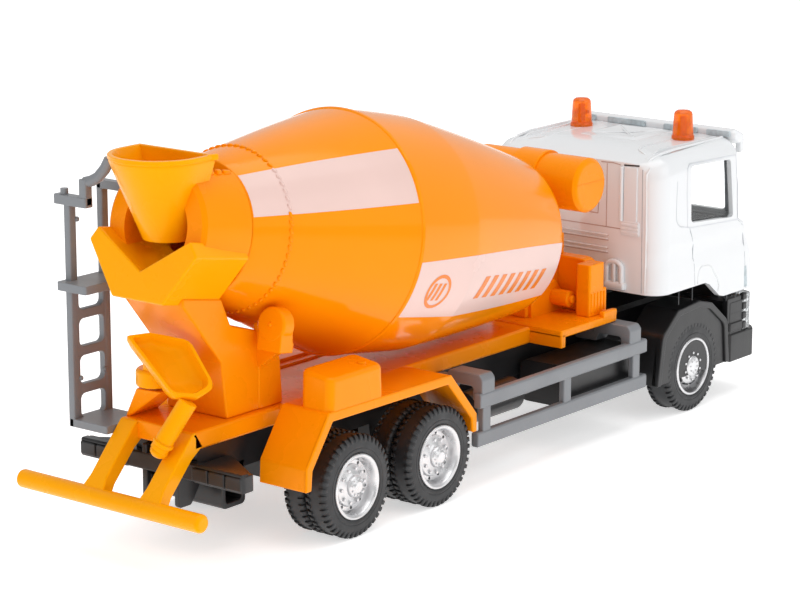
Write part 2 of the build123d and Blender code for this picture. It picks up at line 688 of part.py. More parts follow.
# black lower body: floor, wheel arches and steps
arch_in_y, arch_out_y, base_half_w = 13.9, cab_half_w - 0.1, cab_half_w - 0.3
base_outline = [
    (50.6, frame_top),
    (50.6, cab_floor_z),
    (68.5, cab_floor_z),
    (74.9, cab_low_z),
    (84.6, cab_low_z),
    (84.6, frame_top),
]
base = side_plate(base_outline, -base_half_w, base_half_w)
base += block(68.0, 84.6, -inside_y + 0.1, inside_y - 0.1, frame_top, cab_floor_z)
arch_top = tyre_r + arch_r
arch_line = [
    (arch_rear_x, 8.2),
    (arch_rear_x + 1.75, arch_top - 2.5),
    (front_axle_x - 6.7, arch_top + 2.2),
    (front_axle_x + 1.5, arch_top + 2.85),
    (front_axle_x + 6.6, arch_top + 1.6),
    (bumper_rear_x - 1.4, arch_top - 3.45),
    (bumper_rear_x - 0.3, 8.3),
]
for side in (1, -1):
    y0, y1 = sorted((side * arch_in_y, side * arch_out_y))
    base += side_plate(arch_line, y0, y1) - side_plate(cab_outline, -cab_half_w, cab_half_w)
    z0, z1 = sorted((side * arch_in_y, side * (arch_out_y + 2)))
    base -= rod(arch_r, (front_axle_x, z0, tyre_r), (front_axle_x, z1, tyre_r))
    base -= block(front_axle_x - arch_r, front_axle_x + arch_r, z0, z1, 0.0, tyre_r)
write(base, "cab_base")

# bumper with stepped sides, lamp pockets and grille panel
lamp_w, lamp_z1 = 6.6, 22.3
lamp_out_y = cab_half_w - 0.5
lamp_in_y = lamp_out_y - lamp_w
bumper_front_x = 91.75
bumper_plan = [
    (bumper_rear_x, -arch_out_y),
    (bumper_front_x - 3.15, -arch_out_y),
    (bumper_front_x - 0.85, -arch_out_y + 1.8),
    (bumper_front_x, -arch_out_y + 6.4),
    (bumper_front_x, arch_out_y - 6.4),
    (bumper_front_x - 0.85, arch_out_y - 1.8),
    (bumper_front_x - 3.15, arch_out_y),
    (bumper_rear_x, arch_out_y),
]
bumper = plan_plate(bumper_plan, 7.9, 14.15)
bumper -= block(70.0, 85.6, -arch_out_y + 1.8, arch_out_y - 1.8, 5.0, 16.0)
bumper += block(82.2, 87.6, -lamp_in_y + 0.1, lamp_in_y - 0.1, 13.0, cab_low_z)
bumper -= block(70.0, 84.6, -arch_out_y + 1.4, arch_out_y - 1.4, frame_top, 30.0)
for side in (1, -1):
    y0, y1 = sorted((side * 13.0, side * base_half_w))
    bumper += block(bumper_rear_x, 84.6, y0, y1, 14.0, frame_top)
    for z in (15.2, 17.7, 20.2):
        bumper += block(bumper_rear_x, 84.6, side * base_half_w - 0.15, side * base_half_w + 0.15, z, z + 1.2)
for z in (15.2, 17.4, 19.6):
    bumper -= block(86.8, 88.0, -13.5, 13.5, z, z + 1.2)
write(bumper, "bumper")

for side, name in ((1, "left"), (-1, "right")):
    lamp_plan = [
        (84.7, lamp_in_y),
        (89.6, lamp_in_y),
        (90.0, lamp_out_y - 4.0),
        (88.8, lamp_out_y - 0.8),
        (87.6, lamp_out_y),
        (84.7, lamp_out_y),
    ]
    lamp = plan_plate(lamp_plan, 14.15, lamp_z1)
    write(lamp if side > 0 else mirrored(lamp), f"headlamp_{name}")
    beacon_at = Pos(72.0, side * 13.43, roof_z)
    beacon = beacon_at * Pos(0, 0, 0.4) * Cylinder(2.5, 0.8)
    beacon += beacon_at * Pos(0, 0, 3.6) * Cone(2.3, 1.95, 5.6)
    write(beacon, f"beacon_{name}")

visor = [(80.2, roof_z), (79.6, 59.4), (81.2, 60.0), (84.2, 58.6), (84.5, 57.2), (81.3, 56.3)]
visor_half = cab_half_w - 0.8
shade = side_plate(visor, -visor_half, visor_half)
drop = [(82.5, 57.0), (84.4, 57.4), (84.3, 54.6), (82.7, 54.2)]
shade += side_plate(drop, visor_half - 1.6, visor_half)
shade += side_plate(drop, -visor_half, -visor_half + 1.6)
write(shade, "sun_visor")

# cab inside: floor, two seats and the dash in one moulding
seat_half = inside_y - 1.0
inside = block(52.0, 79.6, -seat_half, seat_half, cab_floor_z, cab_floor_z + 1.0)
for side in (1, -1):
    y0, y1 = sorted((side * 4.0, side * 15.0))
    inside += block(57.0, 68.0, y0, y1, cab_floor_z, 34.0)
    inside += side_plate([(55.6, 33.0), (53.6, 47.0), (56.4, 47.0), (59.4, 33.0)], y0, y1)
inside += side_plate([(74.6, 28.5), (73.6, 38.6), (79.4, 40.6), (79.4, 28.5)], -seat_half, seat_half)
write(inside, "cab_interior")
wheel_tilt = Pos(70.6, 9.5, 42.0) * Rot(0, -55, 0)
steering = wheel_tilt * Torus(3.0, 0.45)
steering += wheel_tilt * Box(6.0, 0.8, 0.7) + wheel_tilt * Box(0.8, 6.0, 0.7)
steering += wheel_tilt * Pos(0, 0, -3.2) * Cylinder(0.7, 6.4)
steering -= inside
write(steering.solids().sort_by(SortBy.VOLUME)[-1], "steering_wheel")
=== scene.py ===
import json
import math

import bmesh
import bpy
from mathutils import Matrix, Vector


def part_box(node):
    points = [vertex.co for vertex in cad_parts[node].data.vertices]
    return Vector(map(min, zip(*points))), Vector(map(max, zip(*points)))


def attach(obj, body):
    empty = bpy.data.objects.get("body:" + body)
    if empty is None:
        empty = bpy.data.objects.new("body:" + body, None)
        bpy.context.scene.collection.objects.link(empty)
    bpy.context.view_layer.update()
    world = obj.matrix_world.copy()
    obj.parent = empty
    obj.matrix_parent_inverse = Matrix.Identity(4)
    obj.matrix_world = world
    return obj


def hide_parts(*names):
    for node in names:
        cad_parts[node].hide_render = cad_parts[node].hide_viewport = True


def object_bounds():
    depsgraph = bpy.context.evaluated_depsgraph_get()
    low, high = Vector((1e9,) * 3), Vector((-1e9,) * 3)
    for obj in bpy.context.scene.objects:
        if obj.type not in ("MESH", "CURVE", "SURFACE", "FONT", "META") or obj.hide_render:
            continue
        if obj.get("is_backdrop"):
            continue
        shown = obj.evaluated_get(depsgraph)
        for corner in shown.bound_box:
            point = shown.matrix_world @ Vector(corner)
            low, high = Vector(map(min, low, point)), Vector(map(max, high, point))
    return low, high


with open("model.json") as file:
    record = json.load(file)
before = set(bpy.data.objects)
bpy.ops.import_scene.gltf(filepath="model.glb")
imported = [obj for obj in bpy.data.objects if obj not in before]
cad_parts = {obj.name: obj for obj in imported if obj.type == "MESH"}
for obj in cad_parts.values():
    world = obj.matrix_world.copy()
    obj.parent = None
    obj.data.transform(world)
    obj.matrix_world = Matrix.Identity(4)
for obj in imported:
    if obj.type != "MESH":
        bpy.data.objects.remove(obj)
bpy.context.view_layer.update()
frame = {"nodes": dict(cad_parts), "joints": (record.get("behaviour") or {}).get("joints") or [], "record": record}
MM = 0.001
JOINTS = {j["name"]: j for j in frame["joints"]}


# ---------------------------------------------------------------- mesh helpers
# Shapes are written in millimetres. A piece drawn from a home corner moves by whatever separates
# its CAD node's real corner from that home.
def corner(node):
    return Vector(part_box(node)[0]) / MM


def rounded(points, radii, steps=5):
    """Polygon with its corners rounded; radii is one number or one per corner."""
    n = len(points)
    out = []
    for i, p in enumerate(points):
        r = radii[i] if isinstance(radii, (list, tuple)) else radii
        p = Vector(p)
        a, b = Vector(points[i - 1]) - p, Vector(points[(i + 1) % n]) - p
        half = a.angle(b) / 2
        if r <= 0 or half > math.radians(88):
            out.append(tuple(p))
            continue
        cut = min(r / math.tan(half), a.length * 0.49, b.length * 0.49)
        r = cut * math.tan(half)
        p0, p1 = p + a.normalized() * cut, p + b.normalized() * cut
        mid = p + (a.normalized() + b.normalized()).normalized() * (r / math.sin(half))
        v0, v1 = p0 - mid, p1 - mid
        turn = v0.angle(v1)
        if turn < 1e-4:
            out.append(tuple(p))
            continue
        for k in range(steps + 1):
            t = k / steps
            v = (v0 * math.sin((1 - t) * turn) + v1 * math.sin(t * turn)) / math.sin(turn)
            out.append(tuple(mid + v))
    return out


def circle(r, n=48, centre=(0.0, 0.0), start=0.0):
    return [(centre[0] + r * math.cos(start + math.tau * i / n),
             centre[1] + r * math.sin(start + math.tau * i / n)) for i in range(n)]


class Shape:
    """Collects vertices and faces in millimetres; each face keeps a material number."""

    def __init__(self):
        self.v, self.f, self.m = [], [], []
        self.mat = 0

    def add(self, verts, faces):
        base = len(self.v)
        self.v += [tuple(p) for p in verts]
        self.f += [tuple(base + i for i in f) for f in faces]
        self.m += [self.mat] * len(faces)
        return self

    def loft(self, rings, close=True, caps=True):
        """Skins rings of equal length. close joins each ring's ends."""
        n = len(rings[0])
        faces = []
        for k in range(len(rings) - 1):
            for i in range(n if close else n - 1):
                j = (i + 1) % n
                faces.append((k * n + i, k * n + j, (k + 1) * n + j, (k + 1) * n + i))
        if caps:
            faces.append(tuple(range(n))[::-1])
            faces.append(tuple((len(rings) - 1) * n + i for i in range(n)))
        return self.add([p for ring in rings for p in ring], faces)

    def prism(self, outline, a, b, axis="y"):
        """Outline extruded from a to b. axis y takes (x, z) points, z takes (x, y), x takes (y, z)."""
        put = {
            "y": lambda p, t: (p[0], t, p[1]),
            "z": lambda p, t: (p[0], p[1], t),
            "x": lambda p, t: (t, p[0], p[1]),
        }[axis]
        return self.loft([[put(p, a) for p in outline], [put(p, b) for p in outline]])

    def block(self, x0, x1, y0, y1, z0, z1):
        return self.prism([(x0, y0), (x1, y0), (x1, y1), (x0, y1)], z0, z1, "z")

    def slab(self, x0, x1, y0, y1, z0, z1, r, axis="z", steps=5):
        """Block whose four edges along one axis are rounded."""
        pair = {"z": (x0, x1, y0, y1, z0, z1), "y": (x0, x1, z0, z1, y0, y1),
                "x": (y0, y1, z0, z1, x0, x1)}[axis]
        a0, a1, b0, b1, c0, c1 = pair
        return self.prism(rounded([(a0, b0), (a1, b0), (a1, b1), (a0, b1)], r, steps), c0, c1, axis)

    def turn(self, profile, origin, axis, n=64, closed=False, arc=None, start=0.0):
        """Profile of (along, radius) turned round an axis. arc in radians gives a part turn."""
        axis = Vector(axis).normalized()
        side = axis.orthogonal().normalized()
        if abs(axis.z) < 0.99:
            side = Vector((0, 0, 1)) - axis * axis.z
            side.normalize()
        other = axis.cross(side)
        origin = Vector(origin)
        full = arc is None
        count = n if full else n + 1
        rings = []
        for u, r in profile:
            ring = []
            for i in range(count):
                t = start + (math.tau * i / n if full else arc * i / n)
                ring.append(origin + axis * u + (side * math.cos(t) + other * math.sin(t)) * r)
            rings.append(ring)
        if closed:
            rings.append(rings[0])
        ends = full and not closed
        base = len(self.v)
        self.loft(rings, close=full, caps=False)
        if ends:
            for k, flip in ((0, True), (len(rings) - 1, False)):
                if profile[k][1] > 1e-4:
                    ids = [base + k * count + i for i in range(count)]
                    self.f.append(tuple(ids[::-1] if flip else ids))
                    self.m.append(self.mat)
        return self

    def rod(self, r, p, q, n=32, r2=None, round_ends=0.0):
        p, q = Vector(p), Vector(q)
        d = q - p
        r2 = r if r2 is None else r2
        if round_ends:
            e = round_ends
            prof = [(0.0, r - e)] + [(e - e * math.cos(a), r - e + e * math.sin(a))
                                     for a in (0.5, 1.05, math.pi / 2)]
            prof += [(d.length - e + e * math.cos(a), r2 - e + e * math.sin(a))
                     for a in (math.pi / 2, 1.05, 0.5)]
            prof += [(d.length, r2 - e)]
        else:
            prof = [(0.0, r), (d.length, r2)]
        return self.turn(prof, p, d, n)

    def ball(self, r, c, n=20):
        prof = [(-r * math.cos(math.pi * k / 12), max(r * math.sin(math.pi * k / 12), 1e-5))
                for k in range(13)]
        return self.turn(prof, c, (0, 0, 1), n)

    def tube_path(self, r, path, n=12, closed=False):
        """Round bar swept along a path of points."""
        pts = [Vector(p) for p in path]
        rings = []
        up = None
        count = len(pts)
        for i, p in enumerate(pts):
            a = pts[i - 1] if (i or closed) else p
            b = pts[(i + 1) % count] if (i < count - 1 or closed) else p
            t = (b - a).normalized()
            if up is None:
                up = t.orthogonal().normalized()
            up = (up - t * up.dot(t)).normalized()
            side = t.cross(up)
            angles = [math.tau * k / n for k in range(n)]
            rings.append([p + (up * math.cos(a) + side * math.sin(a)) * r for a in angles])
        if closed:
            rings.append(rings[0])
        return self.loft(rings, caps=not closed)

    def flip_y(self):
        self.v = [(x, -y, z) for x, y, z in self.v]
        self.f = [f[::-1] for f in self.f]
        return self

    def moved(self, matrix):
        self.v = [tuple(matrix @ Vector(p)) for p in self.v]
        return self


def to_object(name, shape, mats, shift=Vector((0, 0, 0))):
    mesh = bpy.data.meshes.new(name)
    mesh.from_pydata([((Vector(p) + shift) * MM) for p in shape.v], [], shape.f)
    for mat in mats:
        mesh.materials.append(mat)
    mesh.polygons.foreach_set("material_index", shape.m)
    mesh.validate()
    bm = bmesh.new()
    bm.from_mesh(mesh)
    bmesh.ops.remove_doubles(bm, verts=bm.verts, dist=1e-7)
    bmesh.ops.recalc_face_normals(bm, faces=bm.faces)
    bm.to_mesh(mesh)
    bm.free()
    obj = bpy.data.objects.new(name, mesh)
    bpy.context.scene.collection.objects.link(obj)
    return obj


def bake(obj):
    """Applies the modifiers."""
    bpy.context.view_layer.update()
    graph = bpy.context.evaluated_depsgraph_get()
    mesh = bpy.data.meshes.new_from_object(obj.evaluated_get(graph))
    old = obj.data
    obj.modifiers.clear()
    obj.data = mesh
    bpy.data.meshes.remove(old)


def cut(obj, shape, shift=Vector((0, 0, 0))):
    """Takes the shape away from the object."""
    tool = to_object(obj.name + "_tool", shape, list(obj.data.materials), shift)
    mod = obj.modifiers.new("cut", "BOOLEAN")
    mod.operation = "DIFFERENCE"
    mod.solver = "EXACT"
    mod.object = tool
    bake(obj)
    mesh = tool.data
    bpy.data.objects.remove(tool)
    bpy.data.meshes.remove(mesh)


def soften(obj, width, segments=3, angle=32):
    """Rounded edges and even shading."""
    if width:
        mod = obj.modifiers.new("edges", "BEVEL")
        mod.width = width * MM
        mod.segments = segments
        mod.limit_method = "ANGLE"
        mod.angle_limit = math.radians(angle)
        mod.harden_normals = False
        mod.use_clamp_overlap = True
    bake(obj)
    obj.data.shade_smooth()
    obj.data.set_sharp_from_angle(angle=math.radians(38))
    mod = obj.modifiers.new("normals", "WEIGHTED_NORMAL")
    mod.keep_sharp = True
    mod.weight = 70
    bake(obj)


def piece(name, shape, mats, body, node=None, home=None, edge=0.2, segments=3, cuts=(), also=(), angle=32):
    """Makes one visible piece and ties it to its CAD nodes and body."""
    mats = mats if isinstance(mats, (list, tuple)) else [mats]
    shift = Vector((0, 0, 0))
    if home is not None:
        shift = corner(node) - Vector(home)
    obj = to_object(name, shape, mats, shift)
    for c in cuts:
        cut(obj, c, shift)
    soften(obj, edge, segments, angle)
    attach(obj, body)
    names = ([node] if node and home is not None else []) + list(also)
    if names:
        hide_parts(*names)
    return obj


# ---------------------------------------------------------------- materials
def material(name, color, rough=0.3, metal=0.0, coat=0.0, spread=0.06, patch=9.0, grain=0.0, grain_size=0.5,
             rough_spread=0.06, transmission=0.0, ior=1.5, bevel=0.12, painted_glow=0.0, spec=0.5,
             sheen=(1.0, 1.0, 1.0)):
    """Plastic, paint, metal or glass with uneven colour, uneven gloss and a fine grain."""
    mat = bpy.data.materials.new(name)
    mat.use_nodes = True
    nodes, links = mat.node_tree.nodes, mat.node_tree.links
    bsdf = nodes["Principled BSDF"]
    coord = nodes.new("ShaderNodeTexCoord")

    def noise(size, detail):
        n = nodes.new("ShaderNodeTexNoise")
        n.inputs["Scale"].default_value = 1 / (size * MM)
        n.inputs["Detail"].default_value = detail
        links.new(coord.outputs["Object"], n.inputs["Vector"])
        return n

    ramp = nodes.new("ShaderNodeValToRGB")
    ramp.color_ramp.elements[0].position = 0.3
    ramp.color_ramp.elements[1].position = 0.7
    dark = tuple(max(c * (1 - spread), 0.0) for c in color)
    light = tuple(min(c * (1 + spread), 1.0) for c in color)
    ramp.color_ramp.elements[0].color = (*dark, 1)
    ramp.color_ramp.elements[1].color = (*light, 1)
    links.new(noise(patch, 3.0).outputs["Fac"], ramp.inputs["Fac"])
    links.new(ramp.outputs["Color"], bsdf.inputs["Base Color"])
    if rough_spread:
        spread_node = nodes.new("ShaderNodeMapRange")
        spread_node.inputs["From Min"].default_value = 0.3
        spread_node.inputs["From Max"].default_value = 0.7
        spread_node.inputs["To Min"].default_value = max(rough - rough_spread, 0.02)
        spread_node.inputs["To Max"].default_value = rough + rough_spread
        links.new(noise(patch * 0.45, 4.0).outputs["Fac"], spread_node.inputs["Value"])
        links.new(spread_node.outputs["Result"], bsdf.inputs["Roughness"])
    else:
        bsdf.inputs["Roughness"].default_value = rough
    normal = None
    if bevel:
        edge = nodes.new("ShaderNodeBevel")
        edge.samples = 4
        edge.inputs["Radius"].default_value = bevel * MM
        normal = edge.outputs["Normal"]
    if grain:
        bump = nodes.new("ShaderNodeBump")
        bump.inputs["Strength"].default_value = 1.0
        bump.inputs["Distance"].default_value = grain * MM
        links.new(noise(grain_size, 2.0).outputs["Fac"], bump.inputs["Height"])
        if normal:
            links.new(normal, bump.inputs["Normal"])
        normal = bump.outputs["Normal"]
    if normal:
        links.new(normal, bsdf.inputs["Normal"])
    bsdf.inputs["Metallic"].default_value = metal
    bsdf.inputs["Coat Weight"].default_value = coat
    bsdf.inputs["Coat Roughness"].default_value = 0.04
    bsdf.inputs["IOR"].default_value = ior
    bsdf.inputs["Specular IOR Level"].default_value = spec
    bsdf.inputs["Specular Tint"].default_value = (*sheen, 1)
    bsdf.inputs["Transmission Weight"].default_value = transmission
    # Emission here is painted light: the part shines as if lit through from behind, though it is no lamp.
    if painted_glow:
        bsdf.inputs["Emission Color"].default_value = (*color, 1)
        bsdf.inputs["Emission Strength"].default_value = painted_glow
    return mat


orange = material("orange_plastic", (0.96, 0.285, 0.001), 0.26, coat=0.03, spread=0.03, patch=22,
                  grain=0.006, grain_size=1.6, spec=0.45, bevel=0, sheen=(1.0, 0.42, 0.04))
amber = material("amber_plastic", (0.98, 0.385, 0.001), 0.26, coat=0.03, spread=0.03, patch=20, grain=0.006,
                 grain_size=1.6, spec=0.4, bevel=0, sheen=(1.0, 0.42, 0.04))
drum_orange = material("drum_plastic", (0.96, 0.285, 0.001), 0.14, coat=0.12, spread=0.03, patch=26,
                       grain=0.004, grain_size=4.0, rough_spread=0.03, bevel=0, spec=0.5,
                       sheen=(1.0, 0.42, 0.04))
print_white = material("white_print", (0.78, 0.56, 0.51), 0.22, coat=0.15, spread=0.02, patch=14,
                       grain=0.004, grain_size=0.5, bevel=0, spec=0.3, sheen=(1.0, 0.85, 0.8))
print_orange = material("orange_print", (0.80, 0.20, 0.01), 0.22, spread=0.05, patch=6, bevel=0)
grey = material("grey_plastic", (0.20, 0.21, 0.225), 0.36, spread=0.06, patch=12, grain=0.008,
                grain_size=0.8, bevel=0)
black = material("black_plastic", (0.012, 0.012, 0.013), 0.34, spread=0.2, patch=9, grain=0.012,
                 grain_size=0.5, bevel=0.15)
rubber = material("tyre_rubber", (0.021, 0.022, 0.024), 0.48, spread=0.18, patch=5, grain=0.02,
                  grain_size=0.35, bevel=0, rough_spread=0.1)
silver = material("silver_rim", (0.70, 0.70, 0.71), 0.3, metal=1.0, spread=0.05, patch=3, grain=0.012,
                  grain_size=0.7, bevel=0.08)
steel = material("steel_pin", (0.55, 0.55, 0.57), 0.3, metal=1.0, spread=0.05, patch=3)
white = material("white_paint", (0.77, 0.785, 0.80), 0.16, coat=0.4, spread=0.012, patch=18, grain=0.006,
                 grain_size=2.2, rough_spread=0.04, bevel=0)
line_grey = material("panel_line", (0.42, 0.44, 0.47), 0.5, spread=0.12, patch=2, bevel=0)
trim_grey = material("trim_grey", (0.25, 0.28, 0.31), 0.45, spread=0.25, patch=1.6, grain=0.03,
                     grain_size=0.4, bevel=0)
inside_dark = material("cab_trim", (0.03, 0.034, 0.038), 0.5, spread=0.2, patch=3, grain=0.02,
                       grain_size=0.6)
glass = material("window", (0.97, 0.98, 0.98), 0.03, transmission=1.0, ior=1.25, spread=0.004,
                 rough_spread=0.01, bevel=0, spec=0.3)
lens = material("lamp_lens", (0.90, 0.92, 0.93), 0.06, transmission=0.75, spread=0.03, patch=2,
                rough_spread=0.02)
chrome = material("lamp_chrome", (0.86, 0.87, 0.88), 0.12, metal=1.0, spread=0.05, patch=1.5, grain=0.02,
                  grain_size=0.6)
# The beacons get emission as painted light, standing in for back-light through the orange plastic; the toy's
# beacons are unlit.
beacon = material("beacon_plastic", (1.0, 0.2, 0.006), 0.1, transmission=0.6, ior=1.45, spread=0.12,
                  patch=1.2, grain=0.03, grain_size=0.5, bevel=0, painted_glow=0.1)
soft_line = material("soft_line", (0.62, 0.64, 0.67), 0.4, spread=0.06, patch=3, bevel=0)
# Seam colour for the cab's rear wall: the seams are real panel joints, and their pink tint is painted reflection
# of orange bounce light from the drum.
seam_with_painted_bounce = material("rear_seam_painted_bounce", (0.46, 0.33, 0.30), 0.5, spread=0.1, patch=3, bevel=0)
trim_light = material("light_trim", (0.46, 0.53, 0.56), 0.4, spread=0.22, patch=1.4, grain=0.03,
                      grain_size=0.5, bevel=0)
beacon_core = material("beacon_core", (0.80, 0.09, 0.003), 0.2, spread=0.2, patch=1.2, bevel=0)
CAD_LOOK = {
    "orange_plastic": orange, "grey_plastic": grey, "black_plastic": black, "tyre_rubber": rubber,
    "silver_rim": silver, "steel_axle": steel, "lamp_chrome": lens, "beacon_orange": beacon,
    "clear_window": glass, "cab_trim": inside_dark, "white_paint": white,
}
for sub in frame["record"]["subparts"]:
    node = frame["nodes"][sub["node"]]
    node.data.materials.clear()
    node.data.materials.append(CAD_LOOK[sub["material_slot"]])


# ---------------------------------------------------------------- wheels
def make_tyre(shape, y, width, r):
    """One tyre at the origin's axis, outer wall at y, toward -y; lugs on both shoulders."""
    seat = r * 0.635
    prof = [(0.9, seat), (0.25, seat + 0.05), (0.05, seat + 0.5), (0.0, seat + 0.95), (0.12, seat + 1.05),
            (0.02, seat + 1.2), (0.06, r - 1.35), (0.2, r - 0.9), (0.6, r - 0.42), (1.2, r - 0.3)]
    prof += [(width - a, b) for a, b in prof[::-1]]
    shape.turn(prof, (0, y, 0), (0, -1, 0), 96, closed=True)
    count = 44
    for side in (0, 1):
        for i in range(count):
            a0 = math.tau * (i + 0.5 * side) / count
            half = math.pi / count * 0.56
            rows = []
            for u, lo, hi, k in ((0.02, r - 1.3, r - 0.8, 0.8), (0.16, r - 1.4, r - 0.32, 1.0),
                                 (0.5, r - 1.4, r, 1.0), (1.25, r - 1.4, r, 0.85)):
                uu = width - u if side else u
                ring = []
                for rr, s in ((lo, -1), (hi, -1), (hi, 1), (lo, 1)):
                    twist = 0.05 * (u / width) * (1 if side else -1)
                    a = a0 + s * half * k + twist
                    ring.append((rr * math.cos(a), y - uu, rr * math.sin(a)))
                rows.append(ring)
            shape.loft(rows)


def bolt_ring(shape, count, pitch, r, y0, y1, sides=6, start=0.0):
    for i in range(count):
        a = math.tau * i / count + start
        c = (pitch * math.cos(a), pitch * math.sin(a))
        shape.prism(circle(r, sides, c, a), y0, y1, "y")


def rear_rim_shape(shape, seat):
    prof = [(1.9, 0.02), (1.9, seat - 1.5), (1.2, seat - 1.25), (0.2, seat - 0.95), (-0.12, seat - 0.62),
            (-0.2, seat - 0.35), (-0.1, seat - 0.1), (0.25, seat), (1.2, seat + 0.02), (4.6, seat)]
    shape.turn([(u, r) for u, r in prof], (0, 0, 0), (0, -1, 0), 72)
    shape.turn([(0.8, 0.02), (0.8, 2.3), (1.2, 2.75), (1.45, 3.95), (1.8, 4.15)][::-1], (0, 0, 0),
               (0, -1, 0), 60)
    shape.turn([(-0.4, 0.02), (-0.4, 1.05), (-0.1, 1.3), (0.1, 1.9), (0.5, 2.15), (1.1, 2.2)][::-1],
               (0, 0, 0), (0, -1, 0), 48)
    bolt_ring(shape, 10, 3.3, 0.38, -0.85, -1.7)
    bolt_ring(shape, 10, 1.6, 0.2, 0.25, -0.2, start=0.3)
    for i in range(10):
        a = math.tau * (i + 0.5) / 10
        c = (4.5 * math.cos(a), 4.5 * math.sin(a))
        shape.mat = 1
        shape.prism(circle(0.32, 10, c), -1.84, -1.95, "y")
        shape.mat = 0


def front_rim_shape(shape, seat):
    prof = [(2.6, 4.4), (1.9, seat - 1.1), (0.5, seat - 0.72), (-0.12, seat - 0.6), (-0.2, seat - 0.35),
            (-0.1, seat - 0.1), (0.25, seat), (1.2, seat + 0.02), (4.6, seat)]
    shape.turn(prof, (0, 0, 0), (0, -1, 0), 72)
    shape.turn([(2.5, 4.55), (1.6, 4.5), (0.75, 3.95), (0.42, 3.3), (0.3, 2.5), (0.22, 2.3), (-0.15, 2.1),
                (-0.32, 1.5), (-0.36, 0.02)], (0, 0, 0), (0, -1, 0), 60)
    bolt_ring(shape, 10, 2.95, 0.3, 0.1, -0.9)
    bolt_ring(shape, 8, 1.35, 0.22, 0.55, 0.0, start=0.2)
    for i in range(10):
        a = math.tau * (i + 0.5) / 10
        p = [(3.55 * math.cos(a - 0.16), 3.55 * math.sin(a - 0.16)),
             (4.35 * math.cos(a - 0.2), 4.35 * math.sin(a - 0.2)),
             (4.35 * math.cos(a + 0.2), 4.35 * math.sin(a + 0.2)),
             (3.55 * math.cos(a + 0.16), 3.55 * math.sin(a + 0.16))]
        shape.mat = 1
        shape.prism(p, -0.72, -1.6, "y")
        shape.mat = 0


for axle, body, kind in (("front", "front_wheels", 1), ("mid", "middle_wheels", 2),
                         ("rear", "rear_wheels", 2)):
    for side_name, side in (("left", 1), ("right", -1)):
        tyre_node, rim_node = f"{axle}_tyre_{side_name}", f"{axle}_rim_{side_name}"
        lo, hi = (Vector(p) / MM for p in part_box(tyre_node))
        r = (hi.z - lo.z) / 2
        hub = Vector(((lo.x + hi.x) / 2, hi.y if side > 0 else lo.y, (lo.z + hi.z) / 2))
        seat = (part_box(rim_node)[1].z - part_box(rim_node)[0].z) / MM / 2
        wheel = Shape()
        if kind == 2:
            each = (hi.y - lo.y - 0.5) / 2
            make_tyre(wheel, 0.0, each, r)
            make_tyre(wheel, -each - 0.5, each, r)
        else:
            make_tyre(wheel, 0.0, (hi.y - lo.y) - 1.2, r)
        rim = Shape()
        (rear_rim_shape if kind == 2 else front_rim_shape)(rim, seat - 0.2)
        turn_by = Matrix.Rotation(0.35 + 0.5 * (axle == "mid") + 0.21 * (axle == "rear"), 4, "Y")
        for shape, mats, node_name, edge in ((wheel, [rubber], tyre_node, 0.09),
                                             (rim, [silver, inside_dark], rim_node, 0.06)):
            shape.moved(turn_by)
            if side < 0:
                shape.flip_y()
            obj = to_object("look_" + node_name, shape, mats, hub)
            soften(obj, edge, 2)
            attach(obj, body)
            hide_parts(node_name)

# ---------------------------------------------------------------- drum
spin = JOINTS["drum_spin"]
drum_at = Vector(spin["pos_m"]) / MM
drum_axis = Vector(spin["axis"]).normalized()
drum_up = (Vector((0, 0, 1)) - drum_axis * drum_axis.z).normalized()
drum_side = drum_axis.cross(drum_up)
DRUM = [(-36.7, 12.9), (0.0, 23.87), (17.9, 23.4), (55.96, 16.8)]
BULGE = {0.0: 0.28, 17.9: 0.08, 55.96: 0.25}


def drum_r(u):
    for (u0, r0), (u1, r1) in zip(DRUM, DRUM[1:]):
        if u <= u1:
            t = min(max((u - u0) / (u1 - u0), 0.0), 1.0)
            return r0 + (r1 - r0) * t + BULGE[u1] * math.sin(math.pi * t)
    return DRUM[-1][1]


def on_drum(u, angle, lift=0.0):
    """Point at u along the axis and angle in degrees from the top toward the truck's right."""
    a = math.radians(angle)
    r = drum_r(u) + lift
    return drum_at + drum_axis * u + (drum_up * math.cos(a) + drum_side * math.sin(a)) * r


def print_patch(shape, edges, nu, na, lift):
    """Printed patch between two lines; edges gives (u, angle0, angle1) along the drum."""
    rows = []
    for k in range(nu + 1):
        t = k / nu * (len(edges) - 1)
        i = min(int(t), len(edges) - 2)
        f = t - i
        u, a0, a1 = (edges[i][j] * (1 - f) + edges[i + 1][j] * f for j in range(3))
        rows.append([on_drum(u, a0 + (a1 - a0) * m / na, lift) for m in range(na + 1)])
    return shape.loft(rows, close=False, caps=False)


